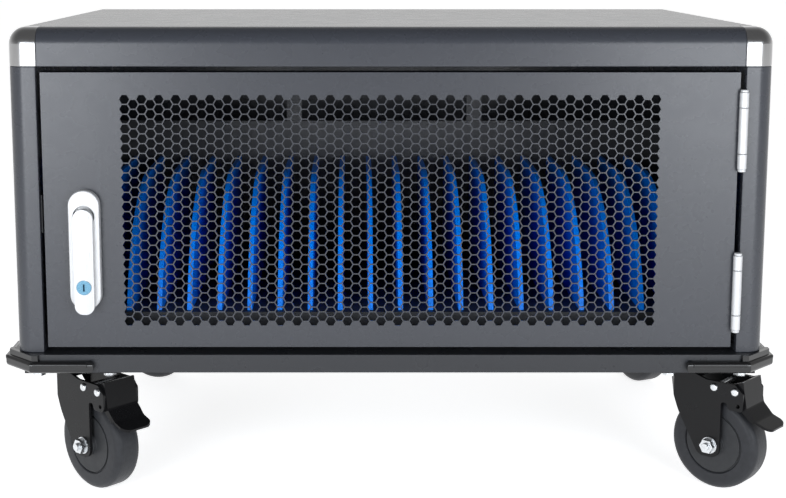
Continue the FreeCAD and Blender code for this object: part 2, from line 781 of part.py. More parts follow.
def rounded_ends(low):
    """The room of a front right bumper whose two arms end in rounded corners."""
    end = "(dims.frame_chamfer + dims.bumper_arm)"
    height = (low, f"{low} + dims.bumper_height")
    corner_x, corner_y = f"({FRAME_X} + dims.bumper_reach)", f"(-{FRAME_Y} - dims.bumper_reach)"
    front = block("bumper_front_room", (f"{FRAME_X} - {end}", corner_x),
                  (corner_y, f"-{FRAME_Y} + dims.frame_chamfer / 2"), height)
    side = block("bumper_side_room", (f"{FRAME_X} - dims.frame_chamfer / 2", corner_x),
                 (corner_y, f"-{FRAME_Y} + {end}"), height)
    side_end = value(f"{end} + dims.bumper_reach")
    dress(front, "Fillet", "dims.bumper_end", lambda edge: runs_along(edge, "y") and middle(edge).x < 0.01)
    dress(side, "Fillet", "dims.bumper_end",
          lambda edge: runs_along(edge, "x") and middle(edge).y > side_end - 0.01)
    return fuse("bumper_room", front, side)


def bumper_rails(low):
    """The raised rails on the two arms of the front right bumper."""
    near, far = "dims.frame_chamfer", "(dims.frame_chamfer + dims.bumper_arm - dims.rail_short)"
    height = (f"{low} + dims.rail_rise", f"{low} + dims.rail_rise + dims.rail_height")
    front = block("bumper_front_rail", (f"{FRAME_X} - {far}", f"{FRAME_X} - {near}"),
                  (f"-{FRAME_Y} - dims.bumper_reach", f"-{FRAME_Y} - dims.rail_root"), height)
    side = block("bumper_side_rail", (f"{FRAME_X} + dims.rail_root", f"{FRAME_X} + dims.bumper_reach"),
                 (f"-{FRAME_Y} + {near}", f"-{FRAME_Y} + {far}"), height)
    proud = value("dims.bumper_reach - dims.rail_root")
    dress(front, "Fillet", "dims.rail_round", lambda edge: middle(edge).y < 0.01)
    dress(side, "Fillet", "dims.rail_round", lambda edge: middle(edge).x > proud - 0.01)
    return front, side


def build_bumpers():
    low = f"({FRAME_LOW} + dims.bumper_rise)"
    strip = corner_band("bumper_strip", "dims.bumper_arm", "dims.bumper_body", "dims.bumper_height",
                        "dims.bumper_round")
    lip = corner_band("bumper_lip", "dims.lip_arm", "dims.lip_reach", "dims.frame_drop - dims.bumper_rise")
    arms = common("bumper_arms", place(strip, z=low), rounded_ends(low))
    front_right = fuse("front_right_bumper", arms, *bumper_rails(low), place(lip, z=low))
    front_left = mirror("front_left_bumper", front_right, (1, 0, 0))
    rear_right = mirror("rear_right_bumper", front_right, (0, 1, 0))
    rear_left = mirror("rear_left_bumper", rear_right, (1, 0, 0))
    node("corner_bumpers", group("corner_bumpers", [front_right, front_left, rear_right, rear_left]))


def build_door():
    y_back = f"({FRONT} + dims.door_depth)"
    skin_y = (FRONT, f"({FRONT} + dims.door_sheet)")
    outer = box("door_outer", (DOOR_LEFT, DOOR_RIGHT), (FRONT, y_back), (DOOR_LOW, DOOR_TOP))
    hollow = box("door_hollow", (f"{DOOR_LEFT} + dims.door_sheet", f"{DOOR_RIGHT} - dims.door_sheet"),
                 (skin_y[1], y_back), (f"{DOOR_LOW} + dims.door_sheet", f"{DOOR_TOP} - dims.door_sheet"))
    spindle_hole = rod("door_spindle_hole", "Y", HANDLE_X, FRONT, SPINDLE_Z,
                       "dims.spindle_radius + dims.running_gap", "dims.door_sheet")
    window = box("door_window", MESH_X, skin_y, MESH_Z)
    node("door_panel", cut("door_panel", outer, hollow, window, spindle_hole))
    room = [tuple(map(value, run)) for run in (MESH_X, skin_y, MESH_Z)]
    node("door_mesh", punched_sheet("door_mesh", *room))


def hole_columns():
    room = f"{MESH_X[1]} - {MESH_X[0]} - 2 * dims.mesh_border - 2 * dims.hole_flats / sqrt(3)"
    return count(f"({room}) / ({HOLE_PITCH} * sqrt(3) / 2)") + 1


def hole_rows(column):
    """Every second column is one hole shorter, so that the hexagons interlock."""
    room = f"{MESH_Z[1]} - {MESH_Z[0]} - 2 * dims.mesh_border - dims.hole_flats"
    return count(f"({room}) / {HOLE_PITCH}") + 1 - column % 2


def hole_centre(column, row, centre):
    pitch = value(HOLE_PITCH)
    step = pitch * math.sqrt(3) / 2
    x = centre.x + (column - (hole_columns() - 1) / 2) * step
    return FreeCAD.Vector(x, centre.y, centre.z + (row - (hole_rows(column) - 1) / 2) * pitch)


def hole_wire(centre):
    """A hexagon with level flats, wound against the sheet's outline."""
    radius = value("dims.hole_flats") / math.sqrt(3)
    corners = [FreeCAD.Vector(radius * math.cos(step * math.pi / 3), 0,
                              -radius * math.sin(step * math.pi / 3))
               for step in range(7)]
    return Part.makePolygon([centre + corner for corner in corners])


def seam(column, centre, low, high):
    """The zigzag up the webs on the right of a column, from the sheet's lower edge to its upper one."""
    pitch = value(HOLE_PITCH)
    radius = pitch / math.sqrt(3)
    points = []
    for row in range(hole_rows(column)):
        hole = hole_centre(column, row, centre)
        points.append(hole + FreeCAD.Vector(radius / 2, 0, -pitch / 2))
        points.append(hole + FreeCAD.Vector(radius, 0, 0))
    points.append(points[-2] + FreeCAD.Vector(0, 0, pitch))
    first = FreeCAD.Vector(points[0].x, centre.y, low)
    last = FreeCAD.Vector(points[-1].x, centre.y, high)
    return [first] + points + [last]


def punched_sheet(name, x, y, z):
    """The door's sheet with its field of hexagons, as upright strips that interlock."""
    (left, right), (front, back), (low, high) = x, y, z
    centre = FreeCAD.Vector((left + right) / 2, front, (low + high) / 2)
    columns = hole_columns()
    width = count("dims.strip_columns")
    edge = [FreeCAD.Vector(left, front, low), FreeCAD.Vector(left, front, high)]
    strips = []
    for start in range(0, columns, width):
        inside = range(start, min(start + width, columns))
        far = [FreeCAD.Vector(right, front, low), FreeCAD.Vector(right, front, high)]
        if inside[-1] < columns - 1:
            far = seam(inside[-1], centre, low, high)
        border = Part.makePolygon(edge[::-1] + far + [edge[-1]])
        holes = [hole_wire(hole_centre(column, row, centre))
                 for column in inside for row in range(hole_rows(column))]
        strips.append(Part.Face([border] + holes).extrude(FreeCAD.Vector(0, back - front, 0)))
        edge = far
    sheet = DOC.addObject("Part::Feature", name)
    sheet.Shape = Part.makeCompound(strips)
    return sheet


def hinge_rod(name, low, high, radius):
    return rod(name, "Z", HINGE_X, HINGE_Y, low, radius, f"({high}) - ({low})")


def build_hinges():
    back = f"({FRONT} + dims.leaf_reach)"
    door_x = (DOOR_RIGHT, f"{DOOR_RIGHT} + dims.leaf_sheet")
    post_x = (f"{POST_X} - dims.leaf_sheet", POST_X)
    frame_leaves, door_leaves, pins = [], [], []
    for name, mid in (("lower", f"({DOOR_LOW} + dims.hinge_inset)"),
                      ("upper", f"({DOOR_TOP} - dims.hinge_inset)")):
        low, high = around(mid, "dims.hinge_length")
        inner = around(mid, "dims.knuckle_length")
        tube = hinge_rod(f"{name}_frame_tube", *inner, "dims.barrel_radius")
        leaf = box(f"{name}_frame_plate", post_x, (HINGE_Y, back), inner)
        bore = hinge_rod(f"{name}_frame_bore", *inner, "dims.pin_radius")
        frame_leaves.append(cut(f"{name}_frame_leaf", fuse(f"{name}_frame_joined", tube, leaf), bore))

        pieces = [box(f"{name}_door_strip", door_x, (f"{FRONT} + dims.leaf_setback", back), (low, high))]
        bores = []
        runs = ((low, f"{inner[0]} - dims.knuckle_gap"), (f"{inner[1]} + dims.knuckle_gap", high))
        for level, run in zip(("low", "high"), runs):
            pieces.append(hinge_rod(f"{name}_door_tube_{level}", *run, "dims.barrel_radius"))
            pieces.append(box(f"{name}_door_tab_{level}", door_x, (HINGE_Y, back), run))
            bores.append(hinge_rod(f"{name}_door_bore_{level}", *run, "dims.pin_radius + dims.running_gap"))
        door_leaves.append(cut(f"{name}_door_leaf", fuse(f"{name}_door_joined", *pieces), *bores))

        foot, top = f"({low} - dims.pin_slack)", f"({high} + dims.pin_slack)"
        pins.append(fuse(f"{name}_hinge_pin", hinge_rod(f"{name}_pin_shaft", foot, top, "dims.pin_radius"),
                         hinge_rod(f"{name}_pin_foot", f"{foot} - dims.pin_head", foot,
                                   "dims.pin_head_radius"),
                         hinge_rod(f"{name}_pin_head", top, f"{top} + dims.pin_head",
                                   "dims.pin_head_radius")))
    node("hinge_frame_leaves", group("hinge_frame_leaves", frame_leaves))
    node("hinge_door_leaves", group("hinge_door_leaves", door_leaves))
    node("hinge_pins", group("hinge_pins", pins))


def upright_bar(name, width, low, high, depth, top_round, low_round):
    """A flat upright bar about the handle's line, with rounded corners at both ends."""
    half = f"{width} / 2"
    tops, lows = [(half, high), (neg(half), high)], [(neg(half), low), (half, low)]
    bar = prism(name, "XZ_Plane", tops + lows, depth)
    dress(bar, "Fillet", top_round, crossing_at("y", "xz", tops))
    return dress(bar, "Fillet", low_round, crossing_at("y", "xz", lows))


def build_handle():
    full_round = "dims.plate_width / 2 - 0.1"
    plate = upright_bar("escutcheon_plate", "dims.plate_width", f"{SPINDLE_Z} - dims.plate_below",
                        f"{SPINDLE_Z} + dims.plate_above", "dims.plate_depth", full_round, full_round)
    front_y = -value("dims.plate_depth")
    dress(plate, "Fillet", "dims.plate_round", lambda edge: abs(middle(edge).y - front_y) < 0.01)
    place(plate, HANDLE_X, FRONT)
    face = f"({FRONT} - dims.plate_depth)"
    dish = rod("escutcheon_dish", "Y", HANDLE_X, face, SPINDLE_Z, "dims.dish_radius", "dims.dish_depth")
    hole = rod("escutcheon_hole", "Y", HANDLE_X, face, SPINDLE_Z, "dims.spindle_radius + dims.running_gap",
               "dims.plate_depth")
    node("handle_escutcheon", cut("handle_escutcheon", plate, dish, hole))
    build_spindle(face)
    build_lever()


def build_spindle(face):
    shoulder = f"({face} + dims.dish_depth - dims.spindle_shoulder)"
    shaft = rod("spindle_shaft", "Y", HANDLE_X, shoulder, SPINDLE_Z, "dims.spindle_radius",
                f"{CAM_Y} - {shoulder}")
    across = around(HANDLE_X, "dims.tongue_width")
    tongue = box("spindle_tongue", across, (PIVOT_Y, shoulder), around(SPINDLE_Z, "2 * dims.tongue_radius"))
    eye = rod("spindle_eye", "X", across[0], PIVOT_Y, SPINDLE_Z, "dims.tongue_radius", "dims.tongue_width")
    pin_hole = rod("spindle_pin_hole", "X", across[0], PIVOT_Y, SPINDLE_Z,
                   "dims.pivot_radius + dims.running_gap", "dims.tongue_width")
    node("handle_spindle", cut("handle_spindle", fuse("spindle_joined", shaft, tongue, eye), pin_hole))
    node("latch_cam", box("latch_cam", around(HANDLE_X, "dims.cam_width"),
                          (CAM_Y, f"{CAM_Y} + dims.cam_thick"),
                          (f"{SPINDLE_Z} - dims.cam_width / 2", f"{SPINDLE_Z} + dims.cam_length")))
    keeper_z = around(SPINDLE_Z, "dims.keeper_height")
    keeper_back = f"({KEEPER_Y} + dims.sheet)"
    foot = box("keeper_foot", (neg(POST_X), f"-{POST_X} + dims.sheet"),
               (f"{FRONT} + dims.keeper_foot", keeper_back), keeper_z)
    catch = box("keeper_catch", (neg(POST_X), f"{HANDLE_X} - dims.keeper_short"), (KEEPER_Y, keeper_back),
                keeper_z)
    node("latch_keeper", fuse("latch_keeper", foot, catch))


def build_lever():
    half = "dims.lever_width / 2"
    bar = upright_bar("lever_bar", "dims.lever_width", LEVER_LOW, LEVER_TOP, "dims.lever_thick",
                      f"{half} - 0.1", "dims.lever_end_round")
    roof = prism("lever_roof", "XY_Plane",
                 [(neg(half), "0"), (neg(half), "-dims.lever_edge"),
                  ("dims.lever_ridge", "-dims.lever_thick"),
                  (half, "-dims.lever_edge"), (half, "0")], f"{LEVER_TOP} - {LEVER_LOW}")
    place(bar, HANDLE_X, LEVER_BACK)
    place(roof, HANDLE_X, LEVER_BACK, LEVER_LOW)
    slot = box("lever_slot", around(HANDLE_X, "dims.tongue_width + 2 * dims.tongue_gap"),
               (f"{PIVOT_Y} - dims.tongue_radius - dims.tongue_gap", LEVER_BACK),
               (f"{SPINDLE_Z} - dims.lever_slot_below", LEVER_TOP))
    pin = ("X", f"{HANDLE_X} - dims.pivot_reach", PIVOT_Y, SPINDLE_Z, "dims.pivot_radius",
           "2 * dims.pivot_reach")
    plug_hole = rod("lever_plug_hole", "Y", HANDLE_X, LEVER_FRONT, PLUG_Z,
                    "dims.plug_radius + dims.running_gap", "dims.lever_thick")
    faceted = common("lever_faceted", bar, roof)
    node("handle_lever", cut("handle_lever", faceted, slot, rod("lever_pin_hole", *pin), plug_hole))
    node("lever_pin", rod("lever_pin", *pin))
    plug = rod("plug_round", "Y", HANDLE_X, LEVER_FRONT, PLUG_Z, "dims.plug_radius", "dims.lever_thick")
    keyway = box("plug_keyway", around(HANDLE_X, "dims.keyway_width"),
                 (LEVER_FRONT, f"{LEVER_FRONT} + dims.keyway_depth"), around(PLUG_Z, "dims.keyway_length"))
    node("lock_plug", cut("lock_plug", plug, keyway))


def castor_frame(name, thing):
    """Stand a piece that was made about its own swivel line under its corner, turned as seen."""
    corner = next(key for key in CASTORS if name.startswith(key))
    sign_x, sign_y, turn, _ = CASTORS[corner]
    thing.Placement = FreeCAD.Placement(FreeCAD.Vector(), FreeCAD.Rotation(FreeCAD.Vector(0, 0, 1), -turn))
    place(thing, f"{sign_x} * {CASTOR_X}", f"{sign_y} * {CASTOR_Y}")
    return node(name, thing)


def axle_rod(name, x, z, start, end, radius):
    """A round bar across a castor."""
    return rod(name, "Y", x, start, z, radius, f"({end}) - ({start})")


def fork_side(corner, braked):
    """The fork's solid from the side, X along the trail and Z up."""
    foot = f"({WHEEL_RADIUS} - dims.fork_leg)"
    feet = [("(dims.trail - dims.fork_leg)", foot), (NOTCH_CORNERS[0][0], foot)]
    lead = [("-dims.fork_lead", FORK_TOP), FORK_NECK]
    ear = NOTCH_CORNERS + EAR_CORNERS + [EAR_START] if braked else PLAIN_CORNERS
    side = prism(f"{corner}_fork_side", "XZ_Plane", lead + feet + ear + [CROWN_END], f"2 * {FORK_HALF}",
                 centred=True)
    dress(side, "Fillet", "dims.fork_leg_round", crossing_at("y", "xz", feet))
    dress(side, "Fillet", "dims.fork_lead_round", crossing_at("y", "xz", [FORK_NECK]))
    if braked:
        dress(side, "Fillet", "dims.notch_round", crossing_at("y", "xz", NOTCH_CORNERS))
    rear_corners = EAR_CORNERS if braked else PLAIN_CORNERS
    return dress(side, "Fillet", "dims.ear_round", crossing_at("y", "xz", rear_corners))


def fork_plan(name, wall, height):
    """The fork's plan: two sides and a bevelled leading end, open behind."""
    half = f"({FORK_HALF} - {wall})"
    lead = f"(-dims.fork_lead + {wall})"
    bevel = f"(dims.fork_bevel - {wall} * {EIGHTH_TURN_LEAN:.4f})"
    reach = "dims.trail + dims.wheel_diameter"
    points = [(lead, f"-{half} + {bevel}"), (f"{lead} + {bevel}", neg(half)), (reach, neg(half)),
              (reach, half), (f"{lead} + {bevel}", half), (lead, f"{half} - {bevel}")]
    return prism(name, "XY_Plane", points, height)


def build_fork(corner, braked):
    plan = fork_plan(f"{corner}_fork_plan", "0", FORK_TOP)
    room = fork_plan(f"{corner}_fork_room", "dims.fork_sheet", f"{FORK_TOP} - dims.fork_sheet")
    across = (neg(FORK_HALF), FORK_HALF)
    holes = [axle_rod(f"{corner}_axle_hole", "dims.trail", WHEEL_RADIUS, *across, "dims.axle_radius")]
    if braked:
        holes.append(axle_rod(f"{corner}_pivot_hole", *PIVOT_RIVET, *across, "dims.rivet_radius"))
        holes.append(axle_rod(f"{corner}_stop_hole", *STOP_RIVET, *across, "dims.rivet_radius"))
        holes.append(axle_rod(f"{corner}_ear_hole", *EAR_HOLE, *across, "dims.ear_hole"))
    solid = common(f"{corner}_fork_solid", fork_side(corner, braked), plan)
    pressing = cut(f"{corner}_fork_pressing", solid, room, *holes)
    cup = rod(f"{corner}_fork_cup", "Z", "0", "0", FORK_TOP, "dims.cup_radius - dims.cup_wall",
              "dims.cup_height")
    kingpin = rod(f"{corner}_kingpin", "Z", "0", "0", FORK_TOP, "dims.kingpin_radius",
                  "dims.head_height - dims.kingpin_gap")
    castor_frame(f"{corner}_fork", fuse(f"{corner}_fork", pressing, cup, kingpin))


def build_axle(corner):
    washer_face = f"({FORK_HALF} + dims.washer_sheet)"
    nut_face = f"({washer_face} + dims.nut_height)"
    centre = ("dims.trail", WHEEL_RADIUS)
    shaft = axle_rod(f"{corner}_axle_shaft", *centre, f"-{nut_face} - dims.axle_stud", FORK_HALF,
                     "dims.axle_radius")
    washers = [axle_rod(f"{corner}_near_washer", *centre, neg(washer_face), neg(FORK_HALF),
                        "dims.washer_radius"),
               axle_rod(f"{corner}_far_washer", *centre, FORK_HALF, washer_face, "dims.washer_radius")]
    nut = hexagon(f"{corner}_axle_nut", "Y", "dims.trail", neg(nut_face), WHEEL_RADIUS, "dims.nut_radius",
                  "dims.nut_height")
    head = hexagon(f"{corner}_axle_head", "Y", "dims.trail", washer_face, WHEEL_RADIUS, "dims.nut_radius",
                   "dims.nut_height")
    castor_frame(f"{corner}_axle", fuse(f"{corner}_axle", shaft, nut, head, *washers))


def build_wheel(corner):
    half = "dims.tyre_width / 2"
    centre = ("dims.trail", WHEEL_RADIUS)
    rim = DOC.addObject("PartDesign::Body", f"{corner}_tyre_body")
    ring = rim.newObject("PartDesign::AdditiveCylinder", f"{corner}_tyre_ring")
    ring.setExpression("Radius", WHEEL_RADIUS)
    ring.setExpression("Height", "dims.tyre_width")
    DOC.recompute()
    dress(rim, "Fillet", "dims.tyre_round", lambda edge: edge.Curve.TypeId == "Part::GeomCircle")
    rim.Placement = FreeCAD.Placement(FreeCAD.Vector(), AXIS_TURN["Y"])
    place(rim, "dims.trail", neg(half), WHEEL_RADIUS)
    bore = axle_rod(f"{corner}_tyre_bore", *centre, neg(half), half, "dims.core_radius")
    castor_frame(f"{corner}_tyre", cut(f"{corner}_tyre", rim, bore))
    disc = axle_rod(f"{corner}_core_disc", *centre, neg(half), half, "dims.core_radius")
    hub_half = f"({FORK_INSIDE} - dims.hub_gap)"
    hub = axle_rod(f"{corner}_core_hub", *centre, neg(hub_half), hub_half, "dims.hub_radius")
    hole = axle_rod(f"{corner}_core_hole", *centre, neg(hub_half), hub_half,
                    "dims.axle_radius + dims.running_gap")
    grooves = [groove_ring(f"{corner}_near_groove", neg(half), f"-{half} + dims.groove_depth"),
               groove_ring(f"{corner}_far_groove", f"{half} - dims.groove_depth", half)]
    castor_frame(f"{corner}_wheel_core",
                 cut(f"{corner}_wheel_core", fuse(f"{corner}_core_joined", disc, hub), hole, *grooves))


def groove_ring(name, start, end):
    outer = axle_rod(f"{name}_out", "dims.trail", WHEEL_RADIUS, start, end, "dims.core_radius")
    inner = axle_rod(f"{name}_in", "dims.trail", WHEEL_RADIUS, start, end,
                     "dims.core_radius - dims.groove_width")
    return cut(name, outer, inner)


def build_brake(corner):
    head_face = f"({FORK_HALF} + dims.rivet_head_height)"
    rivets = []
    for name, centre in (("pivot", PIVOT_RIVET), ("stop", STOP_RIVET)):
        title = f"{corner}_{name}_rivet"
        shank = axle_rod(f"{title}_shank", *centre, neg(FORK_HALF), FORK_HALF, "dims.rivet_radius")
        near = axle_rod(f"{title}_near", *centre, neg(head_face), neg(FORK_HALF), "dims.rivet_head")
        far = axle_rod(f"{title}_far", *centre, FORK_HALF, head_face, "dims.rivet_head")
        rivets.append(fuse(title, shank, near, far))
    castor_frame(f"{corner}_fork_rivets", group(f"{corner}_fork_rivets", rivets))
    castor_frame(f"{corner}_brake_pedal", pedal(corner))


def pedal(corner):
    """A bent plate with a rounded tongue and two cheeks that turn on the upper rivet."""
    width = f"2 * {PEDAL_HALF}"
    bent = prism(f"{corner}_pedal_bent", "XZ_Plane", PEDAL_INSIDE + PEDAL_OUTSIDE[::-1], width,
                 centred=True)
    narrow_x, tip_x = f"({PEDAL_INSIDE[2][0]} + dims.pedal_sheet)", PEDAL_OUTSIDE[3][0]
    broad_x = f"({narrow_x} - ({PEDAL_HALF} - dims.tongue_half))"
    tips = [(tip_x, "-dims.tongue_half"), (tip_x, "dims.tongue_half")]
    plan = prism(f"{corner}_pedal_plan", "XY_Plane",
                 [("0", neg(PEDAL_HALF)), (broad_x, neg(PEDAL_HALF)), (narrow_x, "-dims.tongue_half"),
                  *tips,
                  (narrow_x, "dims.tongue_half"), (broad_x, PEDAL_HALF), ("0", PEDAL_HALF)], FORK_TOP)
    dress(plan, "Fillet", "dims.tongue_corner", crossing_at("z", "xy", tips))
    cheek_block = prism(f"{corner}_pedal_cheeks", "XZ_Plane", CHEEK_REAR + CHEEK_FRONT, width, centred=True)
    between = box(f"{corner}_pedal_room", ("dims.trail", PEDAL_INSIDE[3][0]),
                  around("0", f"{width} - 2 * dims.pedal_sheet"), (WHEEL_RADIUS, FORK_TOP))
    cheeks = cut(f"{corner}_pedal_pair", cheek_block, between)
    shaped = common(f"{corner}_pedal_shaped", fuse(f"{corner}_pedal_joined", bent, cheeks), plan)
    hole = axle_rod(f"{corner}_pedal_hole", *PIVOT_RIVET, neg(PEDAL_HALF), PEDAL_HALF,
                    "dims.rivet_radius + dims.running_gap")
    return cut(f"{corner}_brake_pedal", shaped, hole)


def build_castors():
    plates = []
    for corner, (sign_x, sign_y, _, braked) in CASTORS.items():
        build_fork(corner, braked)
        build_axle(corner)
        build_wheel(corner)
        if braked:
            build_brake(corner)
        plates.append(castor_plate(corner, f"{sign_x} * {CASTOR_X}", f"{sign_y} * {CASTOR_Y}"))
    node("castor_plates", group("castor_plates", plates))
    build_castor_bolts()


def castor_plate(corner, x, y):
    low = f"({FRAME_LOW} - dims.plate_sheet)"
    slab = box(f"{corner}_plate_slab", around(x, "dims.plate_size"), around(y, "dims.plate_size"),
               (low, FRAME_LOW))
    cup_low = f"({FORK_TOP} + dims.cup_height + dims.cup_gap)"
    cup = rod(f"{corner}_plate_cup", "Z", x, y, cup_low, "dims.cup_radius", f"{low} - {cup_low}")
    hole = rod(f"{corner}_plate_hole", "Z", x, y, cup_low, "dims.kingpin_radius + dims.running_gap",
               f"{FRAME_LOW} - {cup_low}")
    bolts = [rod(f"plate_bolt_{tag}", "Z", bolt_x, bolt_y, low, "dims.bolt_radius", "dims.plate_sheet")
             for tag, bolt_x, bolt_y in castor_bolt_places() if tag.startswith(corner)]
    return cut(f"{corner}_castor_plate", fuse(f"{corner}_plate_joined", slab, cup), hole, *bolts)


def check_and_write():
    DOC.recompute()
    for thing in DOC.Objects:
        if "Invalid" in thing.State or "Error" in thing.State:
            raise RuntimeError(f"{thing.Name} failed to build: {thing.State}")
    for name, thing in NODES.items():
        if thing.Shape.isNull() or not thing.Shape.isValid() or not thing.Shape.Solids:
            raise RuntimeError(f"{name} has no sound solid")
    os.makedirs("parts", exist_ok=True)
    for name, thing in NODES.items():
        thing.Shape.exportStep(f"parts/{name}.step")
    print(f"{len(NODES)} nodes written")


def main():
    build_top()
    build_posts()
    build_panels()
    build_back()
    build_bays()
    build_electrics()
    build_frame()
    build_bumpers()
    build_door()
    build_hinges()
    build_handle()
    build_castors()
    check_and_write()


main()
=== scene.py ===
"""Finishes, rounded pieces and a studio for a charging cabinet on castors."""
import json
import math

import bpy
from bpy.props import FloatProperty, FloatVectorProperty, IntProperty, PointerProperty
from mathutils import Matrix, Vector

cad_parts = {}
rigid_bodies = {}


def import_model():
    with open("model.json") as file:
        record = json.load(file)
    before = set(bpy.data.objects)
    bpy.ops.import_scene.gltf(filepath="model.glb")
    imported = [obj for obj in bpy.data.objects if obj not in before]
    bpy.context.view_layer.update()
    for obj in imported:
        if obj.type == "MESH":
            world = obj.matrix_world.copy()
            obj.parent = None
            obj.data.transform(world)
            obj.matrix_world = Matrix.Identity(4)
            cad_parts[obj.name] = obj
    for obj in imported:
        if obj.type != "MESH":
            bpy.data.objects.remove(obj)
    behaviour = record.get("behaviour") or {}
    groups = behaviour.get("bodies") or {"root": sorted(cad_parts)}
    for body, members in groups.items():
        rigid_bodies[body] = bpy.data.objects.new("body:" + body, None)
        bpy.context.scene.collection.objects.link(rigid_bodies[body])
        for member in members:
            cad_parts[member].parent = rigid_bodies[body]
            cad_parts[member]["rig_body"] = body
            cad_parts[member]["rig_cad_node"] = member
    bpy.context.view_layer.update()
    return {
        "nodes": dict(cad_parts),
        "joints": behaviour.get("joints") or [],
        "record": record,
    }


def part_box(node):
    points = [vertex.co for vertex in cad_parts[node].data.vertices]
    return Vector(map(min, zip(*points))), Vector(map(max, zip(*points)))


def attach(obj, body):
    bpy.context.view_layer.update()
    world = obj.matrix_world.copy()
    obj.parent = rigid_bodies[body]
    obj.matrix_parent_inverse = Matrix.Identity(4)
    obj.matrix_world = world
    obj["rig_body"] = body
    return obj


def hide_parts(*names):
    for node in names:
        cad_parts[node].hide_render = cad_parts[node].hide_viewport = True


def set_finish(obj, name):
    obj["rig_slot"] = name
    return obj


bl_info = {
    "name": "Charging Cabinet",
    "version": (1, 0, 0),
    "blender": (4, 5, 0),
    "location": "View3D > Sidebar > Cabinet",
    "description": "Finishes, rounded pieces and a studio for a charging cabinet on castors",
    "category": "Object",
}

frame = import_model()
NODES = frame["nodes"]
SLOTS = {part["node"]: part["material_slot"] for part in frame["record"]["subparts"]}
BODIES = {node: body for body, nodes in frame["record"]["behaviour"]["bodies"].items() for node in nodes}
JOINTS = {joint["name"]: joint for joint in frame["joints"]}
CORNERS = ("front_left", "front_right", "rear_left", "rear_right")
BRAKED = ("front_left", "front_right")

MERGE_DISTANCE = 0.00001
TOUCH = 0.0001
FLAT_ANGLE = math.radians(0.6)
SHARP_ANGLE = math.radians(28)
SMOOTH_ANGLE = math.radians(35)

# Places on a brake pedal ahead of the axle's middle, the tongue's fall for each step ahead, and the length
# from which an edge across the pedal counts as a crease.
TONGUE_BEND = 0.0359
TONGUE_ROOT = 0.0415
TONGUE_SLOPE = 0.36
CREASE_START = 0.029
CREASE_END = 0.0412
CREASE_LENGTH = 0.015
BEND_SEGMENTS = 6

# A tyre's section, in metres.
TYRE_HALF_WIDTH = 0.0125
TYRE_SHOULDER = 0.006
TYRE_BORE = 0.026
TYRE_LIP = 0.0008

NOISE_SPAN = (0.3, 0.7)
SATIN_SHARE = 0.3
FULL_METAL = 1.0
FULL_WEIGHT = 1.0
PAPER_ROUGHNESS = 0.9
UPRIGHT_BRUSHING = (1.0, 1.0, 0.04)
LEVEL_BRUSHING = (1.0, 0.05, 1.0)

SURROUND_LEAN = math.radians(45)
SURROUND_MIDDLE = 0.5
FLOOR_WIDTH = 60
LIGHT_AIM = Vector((0, 0, 0.22))
SOFTBOX_SIZE = (0.66, 0.53)
FILL_SIZE = (0.9, 1.1)


def colour_property(name, description, default):
    return FloatVectorProperty(name=name, description=description, subtype="COLOR", size=3,
                               min=0.0, max=1.0, default=default)


def length_property(name, description, default):
    return FloatProperty(name=name, description=description, unit="LENGTH", min=0.0, precision=5,
                         default=default)


def place_property(name, description, default):
    return FloatVectorProperty(name=name, description=description, subtype="TRANSLATION", unit="LENGTH",
                               size=3, precision=4, default=default)


def level_property(name, description, default):
    return FloatProperty(name=name, description=description, min=0.0, default=default)


def power_property(name, description, default):
    return FloatProperty(name=name, description=description, subtype="POWER", min=0.0, default=default)


class CabinetFinishes(bpy.types.PropertyGroup):
    """Colours of the painted, plated and moulded surfaces."""
    slate: colour_property("Slate paint", "Powder coat of the case and the door", (0.028, 0.0305, 0.0375))
    trolley: colour_property("Trolley paint", "Powder coat of the trolley frame", (0.016, 0.0172, 0.0205))
    inside: colour_property("Inside paint", "Powder coat of tray and partition", (0.022, 0.0235, 0.027))
    blue: colour_property("Divider blue", "Moulded bay dividers", (0.0, 0.19, 0.82))
    silver: colour_property("Satin silver", "Handle and hinges", (0.52, 0.525, 0.535))
    cap: colour_property("Cap metal", "Polished corner caps", (0.40, 0.40, 0.405))
    lock: colour_property("Lock face", "Pale face of the lock plug", (0.10, 0.24, 0.345))
    zinc: colour_property("Zinc", "Plated bolts, nuts and rivets", (0.72, 0.74, 0.76))
    black: colour_property("Black plastic", "Moulded housings and leads", (0.018, 0.018, 0.02))
    brass: colour_property("Contact metal", "Pins of the inlet", (0.78, 0.6, 0.3))
    rubber: colour_property("Bumper rubber", "Corner bumpers", (0.006, 0.006, 0.0065))
    castor: colour_property("Castor paint", "Black paint of forks, plates and pedals", (0.005, 0.005, 0.0055))
    tyre: colour_property("Tyre rubber", "Dark grey rolling surface", (0.02, 0.021, 0.024))
    core: colour_property("Wheel core", "Moulded wheel centre", (0.022, 0.023, 0.025))


